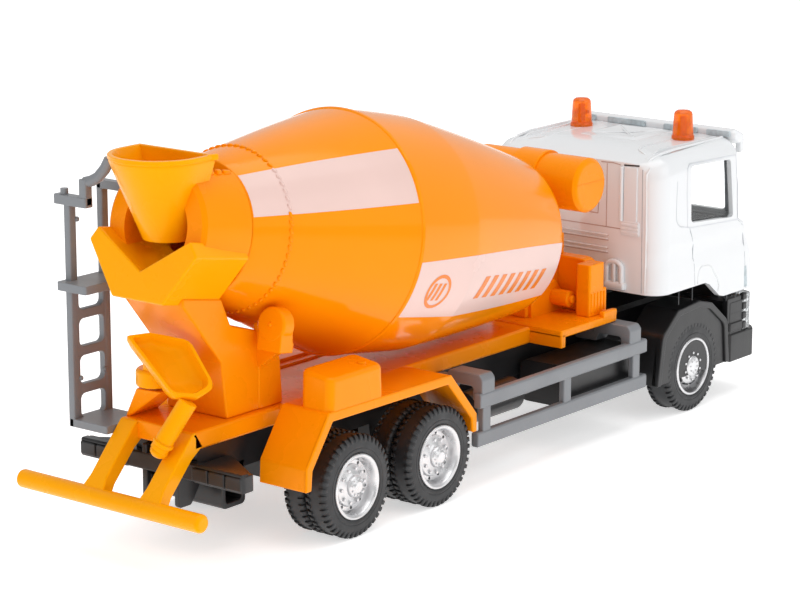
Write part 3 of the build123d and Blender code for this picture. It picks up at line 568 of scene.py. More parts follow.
rear = Shape().turn([(-35.4, 10.5), (-36.7, 10.5), (-36.7, drum_r(-36.7) - 0.25), (-36.45, drum_r(-36.45))]
                    + [(u, drum_r(u)) for u in range(-34, 0, 2)]
                    + [(-0.75, drum_r(-0.75)), (-0.6, drum_r(-0.6) + 0.22), (-0.12, drum_r(0) + 0.2),
                       (0.0, drum_r(0) - 0.1), (0.0, drum_r(0) - 1.3), (-35.4, drum_r(-35.4) - 1.3)],
                    drum_at, drum_axis, 160, closed=True)
piece("look_drum_rear", rear, drum_orange, "drum", also=["drum_rear_shell"], edge=0)
front = Shape().turn([(0.02, drum_r(0) - 1.3), (0.02, drum_r(0) - 0.14), (0.12, drum_r(0.1)),
                      (4.5, drum_r(4.5)), (9.0, drum_r(9)), (13.5, drum_r(13.5)), (17.3, drum_r(17.3)),
                      (18.5, drum_r(18.5) - 0.02)] + [(u, drum_r(u)) for u in range(21, 55, 3)]
                     + [(55.1, drum_r(55.1)), (55.7, drum_r(55.9) - 0.3), (55.96, drum_r(55.9) - 0.9),
                        (55.9, 14.0), (54.6, 13.4), (54.6, 5.0), (56.5, 4.0), (56.5, 2.4), (61.3, 2.4),
                        (61.3, 0.01)], drum_at, drum_axis, 160)
piece("look_drum_front", front, drum_orange, "drum", also=["drum_front_shell"], edge=0)
beads, white_beads = Shape(), Shape()
bead_u = -28.9
for i in range(64):
    a = math.tau * i / 64
    c = on_drum(bead_u, math.degrees(a), 0.04)
    along = (drum_side * math.cos(a) - drum_up * math.sin(a)).normalized()
    out = (c - drum_at - drum_axis * bead_u).normalized()
    slant = (along * 0.9 + drum_axis * 0.42).normalized()
    across = slant.cross(out).normalized()
    b = Shape().turn([(-0.62, 0.06), (-0.5, 0.24), (-0.2, 0.34), (0.2, 0.34), (0.5, 0.24), (0.62, 0.06)],
                     (0, 0, 0), (1, 0, 0), 8)
    m = Matrix((slant, across, out)).transposed().to_4x4()
    m.translation = c
    b.moved(m)
    (white_beads if 38.0 < math.degrees(a) % 180 < 73.0 else beads).add(b.v, b.f)
piece("look_drum_beads", beads, drum_orange, "drum", edge=0)
piece("look_drum_white_beads", white_beads, print_white, "drum", edge=0)

decals = Shape()
marks = Shape()


def bar(shape, u0, u1, a0, a1, lean, lift=0.06, n=8):
    rows = []
    for k in range(n + 1):
        a = a0 + (a1 - a0) * k / n
        shift = lean * k / n
        rows.append([on_drum(u0 + shift, a, lift), on_drum(u1 + shift, a, lift)])
    shape.loft(rows, close=False, caps=False)


for turned in (0, 180):
    print_patch(decals, [(-36.4, 36.0 + turned, 74.0 + turned), (-29.0, 37.6 + turned, 73.0 + turned),
                         (-14.0, 39.8 + turned, 71.2 + turned), (-0.95, 41.2 + turned, 69.6 + turned)], 36,
                36, 0.035)
    print_patch(decals, [(0.15, 97.0 + turned, 125.5 + turned), (17.6, 93.4 + turned, 126.4 + turned),
                         (18.2, 93.3 + turned, 126.5 + turned), (55.2, 87.6 + turned, 128.6 + turned)], 60,
                40, 0.035)
    # a plain emblem: a ring with three slanted bars
    for k in range(40):
        a, b = math.tau * k / 40, math.tau * (k + 1) / 40
        quad = []
        for rr, t in ((3.7, a), (3.7, b), (2.95, b), (2.95, a)):
            u = 8.2 + rr * math.cos(t)
            quad.append(on_drum(u, 111.5 + turned + math.degrees(rr * math.sin(t) / drum_r(u)), 0.07))
        marks.add(quad, [(0, 1, 2, 3)])
    for dx in (-1.5, 0.0, 1.5):
        bar(marks, 7.75 + dx, 8.6 + dx, 107.0 + turned, 116.0 + turned, -0.9, 0.07)
    # slanted stripes along the panel
    for k in range(8):
        u = 23.6 + 3.5 * k
        bar(marks, u, u + 1.9, 104.6 + turned - 0.02 * k, 116.8 + turned + 0.25 * k, -1.7, 0.07)
piece("look_drum_print", decals, print_white, "drum", edge=0)
piece("look_drum_marks", marks, print_orange, "drum", edge=0)

# ---------------------------------------------------------------- deck, arms and crossbar
deck_lo = corner("subframe")
deck = Shape().slab(-80.2, 22.6, -9.1, 9.1, 21.4, 24.9, 0.5, "x", 2)
piece("look_deck", deck, orange, "chassis", "subframe", (-91.75, -20.0, 10.55), 0.35)
arms = Shape()
for s in (1, -1):
    y0, y1 = sorted((s * 5.0, s * 9.1))
    rows = []
    for x, z, t, w in ((-79.6, 24.9, 3.4, 0.0), (-80.5, 24.8, 3.4, 0.0), (-81.3, 24.0, 3.1, 0.0),
                       (-88.6, 16.0, 2.9, 0.0), (-90.0, 14.3, 2.8, 0.5), (-90.9, 12.9, 2.4, 1.3)):
        d = Vector((0.74, -0.67)) * t if x < -81 else Vector((0.28, -1.0)).normalized() * t
        rows.append([(x, y0 - w, z), (x, y1 + w, z), (x + d.x, y1 + w, z + d.y),
                     (x + d.x, y0 - w, z + d.y)])
    arms.loft(rows)
piece("look_arms", arms, amber, "chassis", "subframe", (-91.75, -20.0, 10.55), 0.45)
bar_y0, bar_y1 = deck_lo.y, Vector(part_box("subframe")[1]).y / MM
crossbar = Shape().rod(1.75, (deck_lo.x + 1.75, bar_y0, deck_lo.z + 1.75),
                       (deck_lo.x + 1.75, bar_y1, deck_lo.z + 1.75), 40, round_ends=0.75)
piece("look_crossbar", crossbar, amber, "chassis", edge=0)

# ---------------------------------------------------------------- fenders
OUT = [(-65.0, 12.4), (-64.8, 16.9), (-58.3, 26.2), (-21.6, 25.9), (-13.45, 16.5), (-13.4, 12.8)]
IN = [(-63.6, 12.4), (-63.45, 16.4), (-57.5, 24.8), (-22.2, 24.6), (-14.65, 16.1), (-14.6, 12.8)]
LIP = [(-63.4, 12.4), (-63.05, 16.2), (-57.2, 24.3), (-22.6, 24.1), (-15.1, 15.8), (-14.75, 12.8)]
for side_name, s in (("left", 1), ("right", -1)):
    fender = Shape().prism(rounded(OUT, [0, 1.5, 1.2, 1.2, 1.5, 0]) + rounded(IN, [0, 1, 1, 1, 1, 0])[::-1],
                           11.0, 22.45)
    fender.prism(OUT + LIP[::-1], 21.75, 22.5)
    fender.block(-57.0, -24.0, 9.1, 11.3, 24.25, 25.35)
    box = Shape().slab(-58.0, -41.8, 14.8, 22.3, 25.2, 32.3, 1.6, "z", 5)
    box.v = [(x + (0.35 if x < -51 else -0.35) * (z - 25.2) / 7.1 * (1 if z > 30 else 0), y,
              z + (22.4 - y) * 0.14 * (1 if z > 30 else 0)) for x, y, z in box.v]
    knob = Shape().rod(0.9, (-45.6, 19.6, 32.3), (-45.6, 19.6, 33.0), 16)
    if s < 0:
        for part in (fender, box, knob):
            part.flip_y()
    home = (-65.0, 9.1, 12.4) if s > 0 else (-65.0, -22.5, 12.4)
    piece("look_fender_" + side_name, fender, orange, "chassis", f"fender_{side_name}", home, 0.3)
    piece("look_tool_box_" + side_name, box, orange, "chassis", f"fender_{side_name}", home, 0.9, 4)
    piece("look_box_knob_" + side_name, knob, orange, "chassis", f"fender_{side_name}", home, 0.2)

# ---------------------------------------------------------------- rear pedestal, catcher, collar, funnel


def drum_plane(outline, u0, u1, squeeze=1.0):
    """Outline in (y, height above the drum's axis), standing from u0 to u1 along it."""
    rows = []
    for u, k in ((u0, 1.0), (u1, squeeze)):
        rows.append([drum_at + drum_axis * u + Vector((0, 1, 0)) * y * k + drum_up * v for y, v in outline])
    return rows


HOME_P = (-80.733, -15.4, 24.9)
tower = Shape()
tower_side = [(-69.7, 24.9), (-71.0, 35.8), (-80.9, 48.1), (-80.9, 49.6), (-70.6, 47.7), (-68.2, 42.3),
              (-61.4, 40.2), (-59.9, 39.4), (-59.7, 33.9), (-59.4, 24.9)]
tower.prism(rounded(tower_side, [0, 0.6, 0.4, 0, 0, 1.0, 0.8, 0.8, 0.3, 0]), -7.5, 7.5)
tower.prism(rounded([(-61.0, 24.9), (-61.0, 36.8), (-57.2, 36.6), (-54.9, 34.2), (-54.2, 24.9)],
                    [0, 0, 1.2, 1.2, 0]), -7.7, 7.7)
piece("look_tower", tower, orange, "chassis", "rear_pedestal", HOME_P, 0.45)
rollers = Shape()
for s in (1, -1):
    c = Vector((-62.5, s * 12.0, 42.1))
    rollers.turn([(0.0, 3.0), (0.35, 3.35), (2.9, 3.35), (3.2, 3.0)], c, drum_axis, 40)
    y0, y1 = sorted((s * 9.2, s * 14.9))
    rollers.prism([(-62.4, 42.4), (-63.3, 37.2), (-59.6, 36.6), (-59.4, 41.6)], y0, y1)
    web = rounded([(6.6, 33.2), (6.6, 41.4), (11.8, 42.0), (14.7, 38.2), (14.4, 36.7), (12.4, 36.4),
                   (8.0, 33.2)], [0, 0, 0.8, 0.4, 0.3, 0.6, 0])
    rollers.prism([(s * y, z) for y, z in web], -61.2, -59.0, "x")
    rollers.rod(0.42, c - drum_axis * 0.35, c + drum_axis * 0.2, 14)
piece("look_rollers", rollers, orange, "chassis", "rear_pedestal", HOME_P, 0.3)

V = [(0.0, -8.0), (11.25, -1.2), (13.2, -3.8), (6.25, -13.4), (-6.25, -13.4), (-13.2, -3.8), (-11.25, -1.2)]
catcher = Shape().loft(drum_plane(V, -51.4, -37.05))
piece("look_catcher", catcher, amber, "chassis", "catcher", (-85.063, -13.2, 46.396), 0.4)

collar = Shape()
n_ring, gap = 60, math.radians(31)
ring_rows = []
for k in range(n_ring + 1):
    a = gap + (math.tau - 2 * gap) * k / n_ring
    e = (drum_up * math.cos(a) + drum_side * math.sin(a))
    ring_rows.append([drum_at + drum_axis * u + e * r for u, r in ((-48.4, 7.7), (-48.4, 11.2),
                                                                   (-47.7, 12.0), (-42.5, 12.55),
                                                                   (-36.95, 13.0), (-36.95, 8.9))])
collar.loft(ring_rows, close=True, caps=True)
below = Shape().loft(drum_plane([(0.0, -8.3), (11.1, -1.5), (13.1, -4.1), (20.0, -4.1), (20.0, -22.0),
                                 (-20.0, -22.0), (-20.0, -4.1), (-13.1, -4.1), (-11.1, -1.5)], -53.0,
                                -30.0))
piece("look_collar", collar, orange, "chassis", "collar", (-80.468, -12.95, 48.981), 0.35, cuts=[below])
bump_edge = Shape()
for s in (1, -1):
    for k, (u, h, w) in enumerate(((-47.0, 0.5, 1.2), (-45.2, 0.25, 1.5), (-43.0, 0.4, 1.6),
                                   (-40.8, 0.65, 1.1), (-38.6, 0.3, 1.6))):
        a = math.radians(s * 31.5)
        e = drum_up * math.cos(a) + drum_side * math.sin(a)
        c = drum_at + drum_axis * u + e * (12.3 + 0.06 * (u + 48))
        bump_edge.rod(0.42 + 0.3 * h, c - drum_axis * w * 0.6, c + drum_axis * w * 0.6, 10, round_ends=0.3)
piece("look_collar_flash", bump_edge, orange, "chassis", edge=0)
shield = Shape()
rows = []
for k in range(n_ring + 1):
    a = gap + 0.05 + (math.tau - 2 * gap - 0.1) * k / n_ring
    e = (drum_up * math.cos(a) + drum_side * math.sin(a))
    rows.append([drum_at + drum_axis * u + e * r for u, r in ((-37.6, 9.0), (-37.6, 10.4), (-35.2, 10.4),
                                                              (-35.2, 9.0))])
shield.loft(rows)
piece("look_collar_ring", shield, orange, "chassis", edge=0)

funnel_lo, funnel_hi = (Vector(p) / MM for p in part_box("funnel"))


def rim_point(k, inset=0.0):
    """Point k of 64 round the D-shaped rim, from the left end of the straight edge round the back."""
    r, cx, fx = 9.3 - inset, -78.4, -73.7 - inset
    if k < 4:
        return fx + (cx - fx) * k / 4, r
    if k <= 36:
        a = math.pi / 2 + math.pi * (k - 4) / 32
        return cx + r * math.cos(a), r * math.sin(a)
    if k < 40:
        return cx + (fx - cx) * (k - 36) / 4, -r
    return fx, -r + 2 * r * (k - 40) / 24


def spout_point(k, inset=0.0):
    a = math.atan2(*[(rim_point(k)[m] - (0, -78.4)[m - 1]) for m in (1, 0)])
    return -76.4 + (4.7 - inset) * math.cos(a), (4.7 - inset) * math.sin(a)


spout_z, rim_z = funnel_lo.z + 0.5, funnel_hi.z


def funnel_ring(t, inset, z):
    return [tuple(q * (1 - t) + p * t for q, p in zip(spout_point(k, inset), rim_point(k, inset))) + (z,)
            for k in range(64)]


outer = [funnel_ring(t, 0.0, spout_z + (rim_z - 0.9 - spout_z) * t) for t in (0.0, 0.25, 0.5, 0.75, 0.97)]
outer += [funnel_ring(1.0, 0.25, rim_z - 0.95), funnel_ring(1.0, -0.02, rim_z - 0.7),
          funnel_ring(1.0, 0.0, rim_z - 0.12), funnel_ring(1.0, 0.14, rim_z)]
inner = [funnel_ring(1.0, 0.85, rim_z), funnel_ring(0.98, 1.0, rim_z - 0.35)]
inner += [funnel_ring(t, 1.05, spout_z + (rim_z - spout_z) * t) for t in (0.75, 0.5, 0.25, 0.0)]
funnel = Shape().loft(outer + inner + [outer[0]], caps=False)
piece("look_funnel", funnel, amber, "chassis", "funnel", (-87.7, -9.3, 58.6), 0)
beak = Shape().prism([(-75.6, -8.7), (-74.6, -9.35), (-73.3, -9.75), (-73.0, -9.2), (-73.7, -8.6)],
                     rim_z - 1.0, rim_z + 0.12, "z")
piece("look_funnel_corner", beak, amber, "chassis", edge=0.25)

# ---------------------------------------------------------------- chute and its post
post = Shape().loft([[(-79.3, 9.1, 24.8), (-71.2, 9.1, 24.8), (-71.2, 8.2, 24.8), (-79.3, 8.2, 24.8)],
                     [(-81.8, 3.8, 31.4), (-76.0, 6.0, 31.4), (-75.4, -1.4, 31.4), (-81.1, -1.8, 31.4)]])
piece("look_chute_post", post, orange, "chassis", "chute_post", (-81.9, -3.2, 24.9), 0.35)
boss = Shape().turn([(31.7, 3.1), (31.95, 3.5), (34.6, 3.5), (35.1, 3.1)], (-78.6, 2.0, 0), (0, 0, 1), 48)
neck_low = [(-1.6, 1.2, 0), (1.6, 1.2, 0), (1.6, -1.2, 0), (-1.6, -1.2, 0)]
neck_high = [(-1.8, 1.0, 0.6), (1.8, 1.0, 0.6), (1.8, -0.6, -0.6), (-1.8, -0.6, -0.6)]
boss.loft([[Vector((-79.6, 1.6, 34.0)) + Vector(v) for v in neck_low],
           [Vector((-80.5, 0.2, 38.1)) + Vector(v) for v in neck_high]])
piece("look_chute_boss", boss, amber, "chute", edge=0.3)
TL, TR, BL, BR = (Vector(p) for p in ((-85.6, 2.3, 42.4), (-76.6, -4.9, 41.3), (-85.6, -8.3, 32.0),
                                      (-76.6, -11.8, 32.6)))
sag = Vector((0.388, 0.680, -0.622))


def scoop_ring(k, depth, end=0.0):
    """Outline of the scoop drawn in by k of its half-size and sunk by depth."""
    ring = []
    for s, t in rounded([(0, 0), (0.42, -0.07), (1, 0.04), (1, 0.93), (0.55, 1.05), (0.1, 0.95)],
                        [0.06, 0.3, 0.14, 0.22, 0.3, 0.14], 7):
        s, t = 0.5 + (s - 0.5) * (1 - k), 0.5 + (t - 0.5) * (1 - k * (0.95 if t > 0.5 else 0.45)) + end
        ring.append((TL * (1 - s) + TR * s) * (1 - t) + (BL * (1 - s) + BR * s) * t + sag * depth)
    return ring


scoop = Shape().loft([scoop_ring(0.36, 3.9), scoop_ring(0.13, 2.9), scoop_ring(0.03, 1.5),
                      scoop_ring(0.0, 0.35), scoop_ring(0.03, 0.0), scoop_ring(0.14, 0.0),
                      scoop_ring(0.17, 0.6), scoop_ring(0.24, 1.8), scoop_ring(0.46, 2.6),
                      scoop_ring(0.75, 2.9)])
piece("look_scoop", scoop, amber, "chute", also=["chute_scoop"], edge=0, angle=60)
brace = Shape().rod(1.75, (-82.0, -9.4, 31.2), (-85.55, -5.3, 22.3), 24)
brace.rod(1.75, (-85.35, -5.7, 22.9), (-85.7, -4.9, 21.1), 24, round_ends=1.1)
brace.turn([(0.0, 1.75), (0.1, 2.0), (0.7, 2.0), (0.8, 1.75)], (-85.05, -6.2, 23.9), (-0.25, 0.42, -0.9),
           24)
piece("look_chute_brace", brace, amber, "chute", also=["chute_brace"], edge=0.15)

# ---------------------------------------------------------------- front of the deck
platform = Shape().slab(22.5, 42.7, -17.0, 17.0, 23.6, 25.2, 0.5, "z", 3)
platform.block(22.5, 24.1, -17.0, 17.0, 21.4, 24.4)
platform.block(22.6, 42.6, -7.6, 7.6, 21.4, 24.4)
for s in (1, -1):
    y0, y1 = sorted((s * 15.7, s * 17.0))
    platform.block(37.8, 42.7, y0, y1, 24.8, 26.3)
piece("look_platform", platform, orange, "chassis", "front_platform", (22.5, -17.0, 21.4), 0.3)
cabinet = Shape().slab(35.8, 42.3, -14.6, -10.95, 25.2, 30.7, 0.5, "z", 3)
cabinet.slab(35.8, 41.3, -14.6, -10.95, 30.2, 36.3, 0.6, "z", 3)
for k in range(5):
    cabinet.block(36.3 + 1.15 * k, 36.85 + 1.15 * k, -14.85, -14.4, 26.0, 30.2)
piece("look_cabinet", cabinet, orange, "chassis", "control_cabinet", (35.8, -14.9, 25.2), 0.4)
pedestal = Shape().prism(rounded([(28.1, 25.0), (28.1, 28.0), (36.4, 32.3), (39.4, 29.0), (39.4, 25.0)],
                                 [0, 0.6, 0.6, 0.4, 0]), -5.2, 5.2)
pedestal.rod(1.75, (36.2, -9.6, 28.4), (36.2, -5.0, 28.4), 28, round_ends=0.4)
pedestal.rod(0.9, (36.2, -10.3, 28.4), (36.2, -9.3, 28.4), 20)
piece("look_front_pedestal", pedestal, orange, "chassis", "front_pedestal", (28.1, -9.6, 25.2), 0.3)
arch = Shape().prism(rounded([(-12.0, 25.2), (-12.0, 36.7), (12.0, 36.7), (12.0, 25.2)], [0, 2.6, 2.6, 0]),
                     39.3, 42.7, "x")
arch.block(39.2, 42.6, -3.2, 3.2, 36.0, 41.0)
piece("look_arch", arch, orange, "chassis", "arch_plate", (39.3, -12.0, 25.2), 0.4)
gear = Shape().turn([(57.1, 5.0), (57.5, 5.6), (62.9, 5.6), (63.3, 5.1)], drum_at, drum_axis, 40)
gear.block(27.0, 31.4, -4.4, 4.4, 25.2, 41.5)
piece("look_gearbox", gear, orange, "chassis", also=["gearbox"], edge=0.3)
stays = Shape()
for s in (1, -1):
    y0, y1 = sorted((s * 2.0, s * 4.0))
    stays.prism([(34.4, 31.2), (34.4, 50.0), (38.3, 50.0), (41.2, 36.7), (39.3, 36.7), (39.3, 29.0)], y0,
                y1)
stays.block(36.2, 38.8, -2.5, 2.5, 37.5, 40.5)
piece("look_tank_posts", stays, orange, "chassis", also=["tank_posts"], edge=0.25)
tank_lo, tank_hi = (Vector(p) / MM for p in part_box("water_tank"))
tx, tz = (tank_lo.x + tank_hi.x) / 2, (tank_lo.z + tank_hi.z) / 2
tr, th = (tank_hi.z - tank_lo.z) / 2, tank_hi.y
tank = Shape().turn([(-th, tr - 1.1), (-th + 0.25, tr - 0.5), (-th + 0.85, tr), (th - 0.85, tr),
                     (th - 0.25, tr - 0.5), (th, tr - 1.1)], (tx, 0, tz), (0, 1, 0), 72)
piece("look_tank", tank, orange, "chassis", also=["water_tank"], edge=0)
band_w = Vector(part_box("tank_band")[1]).y / MM
band = Shape().turn([(-band_w, tr - 0.2), (-band_w, tr + 0.35), (-band_w + 0.25, tr + 0.55),
                     (band_w - 0.25, tr + 0.55), (band_w, tr + 0.35), (band_w, tr - 0.2)], (tx, 0, tz),
                    (0, 1, 0), 72)
piece("look_tank_band", band, orange, "chassis", also=["tank_band"], edge=0)
seam = Shape()
for s in (1, -1):
    seam.block(tx - tr + 0.9, tx + tr - 0.9, s * (th + 0.01), s * (th + 0.07), tz + 0.55, tz + 0.7)
piece("look_tank_seam", seam, orange, "chassis", edge=0)

# ---------------------------------------------------------------- ladder
HOME_L = (-85.6, 7.03, 22.2)
lad = Shape()
lad.slab(-84.1, -82.2, 17.4, 19.0, 22.2, 65.0, 0.4, "z", 2)
lad.slab(-75.6, -73.8, 17.4, 19.0, 22.2, 67.4, 0.4, "z", 2)
holes = []
for z0, z1 in ((23.6, 28.1), (29.9, 35.3), (37.1, 42.3), (44.1, 48.3)):
    holes.append((z0, z1))
frame_part = Shape().block(-82.6, -75.2, 17.5, 18.9, 22.4, 48.6)
cutters = [Shape().prism(rounded([(-82.05, z0), (-75.75, z0), (-75.75, z1), (-82.05, z1)], 1.1), 16.0, 20.5)
           for z0, z1 in holes]
piece("look_ladder_rungs", frame_part, grey, "chassis", "ladder", HOME_L, 0.2, cuts=cutters)
lad.slab(-85.9, -73.8, 11.9, 19.4, 48.3, 49.9, 0.5, "z", 2)
lad.slab(-84.1, -73.8, 9.1, 19.0, 22.2, 23.7, 0.4, "z", 2)
lad.slab(-84.3, -82.2, 13.0, 21.3, 64.0, 65.8, 0.4, "z", 2)
lad.slab(-84.2, -82.3, 13.0, 14.9, 64.4, 69.2, 0.4, "z", 2)
lad.slab(-75.6, -73.8, 9.9, 19.0, 65.9, 67.5, 0.4, "z", 2)
piece("look_ladder", lad, grey, "chassis", "ladder", HOME_L, 0.3)
hook = Shape().tube_path(1.05, [(-83.2, 14.0, 68.6), (-82.9, 12.6, 69.0), (-82.6, 11.2, 69.8),
                                (-82.2, 9.9, 71.4), (-82.0, 8.9, 73.2)], 12)
hook.rod(0.75, (-83.2, 19.4, 65.4), (-83.2, 19.4, 66.9), 12)
for z, x in ((61.2, -82.1), (31.2, -82.1), (57.8, -75.8), (31.6, -75.8)):
    hook.ball(0.5, (x, 17.5, z), 10)
piece("look_ladder_hook", hook, grey, "chassis", edge=0)

# ---------------------------------------------------------------- side guards
for side_name, s in (("left", 1), ("right", -1)):
    g = Shape()
    g.slab(-12.4, 46.9, 20.2, 22.0, 9.0, 12.0, 0.35, "x", 2)
    g.slab(-11.6, 46.9, 20.2, 22.0, 16.7, 19.7, 0.35, "x", 2)
    for x in (-9.2, 18.25, 43.3):
        g.block(x - 1.3, x + 1.3, 20.4, 21.75, 10.5, 17.5)
    for x in (-8.8, 42.7):
        g.prism(rounded([(7.6, 19.0), (7.6, 21.4), (12.6, 21.4), (13.4, 23.4), (21.0, 23.4), (21.8, 22.4),
                         (21.8, 18.0), (19.4, 18.0), (19.4, 20.8), (14.0, 20.8), (13.0, 19.0)],
                        [0, 0, 0.4, 0.8, 0.8, 1.2, 0, 0, 0.6, 0.6, 0.3]), x - 2.1, x + 2.1, "x")
    if s < 0:
        g.flip_y()
    piece("look_guard_" + side_name, g, grey, "chassis", f"side_guard_{side_name}",
          (-12.4, 7.6, 9.0) if s > 0 else (-12.4, -22.0, 9.0), 0.3)

# ---------------------------------------------------------------- tail: beam, lamp blocks, tube
beam = Shape().slab(-79.9, -78.0, -20.2, 20.2, 15.5, 18.9, 0.3, "y", 2)
for s in (1, -1):
    y0, y1 = sorted((s * 8.0, s * 20.5))
    beam.slab(-79.9, -76.8, y0, y1, 15.4, 18.6, 0.7, "z", 3)
    for k in range(3):
        y = s * (18.2 - 4.1 * k)
        beam.slab(-80.2, -79.6, y - 1.9, y + 1.9, 15.75, 18.25, 0.3, "x", 3)
    beam.prism([(-79.6, s * 8.0), (-79.6, s * 20.0), (-77.0, s * 20.3), (-70.0, s * 9.0), (-70.0, s * 8.0)],
               17.6, 18.4, "z")
piece("look_rear_beam", beam, black, "chassis", also=["rear_beam"], edge=0.3)
tube = Shape().slab(-72.7, -66.3, -8.8, 8.8, 8.4, 13.6, 1.1, "y", 4)
piece("look_under_tube", tube, black, "chassis", also=["under_tube"], edge=0.2,
      cuts=[Shape().slab(-71.7, -67.3, -14.5, 14.5, 9.4, 12.6, 0.7, "y", 4)])
tail = Shape()
for s in (1, -1):
    y0, y1 = sorted((s * 4.6, s * 7.6))
    tail.prism([(-72.0, 14.0), (-72.0, 16.5), (-65.0, 16.5), (-65.5, 14.0)], y0, y1)
    y0, y1 = sorted((s * 3.4, s * 4.6))
    tail.prism(rounded([(-79.8, 9.6), (-79.8, 20.5), (-74.0, 20.5), (-74.0, 13.0), (-76.4, 9.6)],
                       [0.8, 0, 0, 0.5, 0.8]), y0, y1)
tail.block(-78.6, -77.2, -4.0, 4.0, 11.4, 14.6)
tail.rod(0.9, (-78.6, 0, 10.0), (-78.6, 0, 16.2), 16)
piece("look_tail", tail, black, "chassis", also=["tow_hitch"], edge=0.25)

# ---------------------------------------------------------------- cab shell
HOME_C = (50.0, -22.5, 23.7)
FRONT = [(23.0, 89.4), (24.0, 89.38), (31.8, 88.4), (37.6, 86.0), (38.9, 85.2), (40.2, 83.2), (40.6, 83.0),
         (55.0, 82.05), (58.2, 80.6)]


def front_x(z):
    for (z0, x0), (z1, x1) in zip(FRONT, FRONT[1:]):
        if z <= z1:
            return x0 + (x1 - x0) * (z - z0) / (z1 - z0)
    return FRONT[-1][1]


SIDE_W = [(23.0, 22.35), (31.2, 22.5), (33.3, 22.5), (34.3, 22.28), (36.4, 22.28), (37.6, 22.5),
          (39.0, 22.5), (40.2, 22.3), (54.0, 22.3)]


def side_w(z):
    if z > 54.0:
        t = min((z - 54.0) / 4.2, 1.0)
        return 22.3 - 3.4 * (1 - math.sqrt(max(1 - t * t, 0.0)))
    for (z0, x0), (z1, x1) in zip(SIDE_W, SIDE_W[1:]):
        if z <= z1:
            return x0 + (x1 - x0) * (z - z0) / (z1 - z0)
    return 22.3


def cab_ring(z, inset=0.0, rear=50.0, slope=False):
    """Plan outline of the cab at height z, rounded at the four corners."""
    w, x0, x1 = side_w(min(z, 58.2)) - inset, rear + inset, front_x(min(z, 58.2)) - inset
    rc, fc = max(4.2 - inset, 1.0), max(2.6 - inset, 0.8)
    pts = []
    for cx, cy, r, a0 in ((x0 + rc, -w + rc, rc, 180), (x1 - fc, -w + fc, fc, 270),
                          (x1 - fc, w - fc, fc, 0), (x0 + rc, w - rc, rc, 90)):
        for k in range(9):
            a = math.radians(a0 + 90 * k / 8)
            pts.append((cx + r * math.cos(a), cy + r * math.sin(a), z))
    return pts


def roof_drop(x):
    """How far the roof falls toward its rear edge."""
    t = min(max((59.5 - x) / 9.5, 0.0), 1.0)
    return 2.1 * t ** 1.6


levels = [23.0, 24.0, 27.9, 28.1, 31.2, 33.3, 34.3, 36.4, 37.6, 39.0, 40.2, 41.5, 48.0, 54.0]
levels += [54.0 + 4.2 * math.sin(math.radians(a)) for a in (10, 20, 30, 40, 50, 60, 70, 80, 90)]
rings = []
for z in levels:
    ring = cab_ring(z)
    if z > 48.0:
        ring = [(x, y, z - roof_drop(x) * min((z - 48.0) / 6.0, 1.0)) for x, y, z in ring]
    rings.append(ring)
top = rings[-1]
for shrink in (0.86, 0.6, 0.3):
    cx = 66.0
    rings.append([(cx + (x - cx) * shrink, y * shrink,
                   58.2 + 0.25 * (1 - shrink) - roof_drop(cx + (x - cx) * shrink)) for x, y, z in top])
cab = Shape().loft(rings)
room = Shape().loft([cab_ring(z, 1.3) for z in [22.0] + levels[1:14]]
                    + [[(66 + (x - 66) * k, y * k, z) for x, y, z in cab_ring(54.0, 1.3)] for k,
                       z in ((0.985, 55.2), (0.94, 55.9), (0.8, 56.2))])
foot = Shape().prism([(45.0, 15.0), (45.0, 28.0), (68.3, 28.0), (70.0, 27.4), (74.3, 24.1), (76.0, 23.7),
                      (95.0, 23.7), (95.0, 15.0)], -30, 30)
WINDOW = rounded([(62.4, 42.2), (62.0, 54.6), (77.6, 53.9), (79.2, 40.9)], [1.2, 1.0, 0.9, 0.7], 5)
window = Shape().prism(WINDOW, -30, 30)
screen = Shape().prism(rounded([(-18.9, 41.6), (-18.3, 54.2), (18.3, 54.2), (18.9, 41.6)], 1.6, 5), 79.0,
                       95.0, "x")


def arc(cx, cz, r, a0, a1, n=10):
    return [(cx + r * math.cos(math.radians(a0 + (a1 - a0) * k / n)),
             cz + r * math.sin(math.radians(a0 + (a1 - a0) * k / n))) for k in range(n + 1)]


cuts = [room, foot, window, screen]
piece("look_cab_shell", cab, [white], "chassis", "cab_shell", HOME_C, 0.32, 3, cuts=cuts)


def panel_lines(name, lines, mat, thick=0.2, raise_by=0.03, side=None, rear=False, top=False):
    """Fine seams drawn as thin dark ribbons lying in the surface."""
    shape = Shape()
    for path in lines:
        for p, q in zip(path, path[1:]):
            p, q = Vector(p), Vector(q)
            d = (q - p).normalized()
            nrm = Vector((-1, 0, 0)) if rear else Vector((0, 0, 1)) if top else Vector((0, side, 0))
            w = d.cross(nrm).normalized() * thick / 2
            e = d * thick * 0.2
            shape.loft([[p - e - w - nrm * 0.12, p - e + w - nrm * 0.12, p - e + w + nrm * raise_by,
                         p - e - w + nrm * raise_by], [q + e - w - nrm * 0.12, q + e + w - nrm * 0.12,
                                                       q + e + w + nrm * raise_by,
                                                       q + e - w + nrm * raise_by]])
    return piece(name, shape, mat, "chassis", edge=0)


def on_side(path, s):
    return [(x, s * side_w(z), z) for x, z in path]


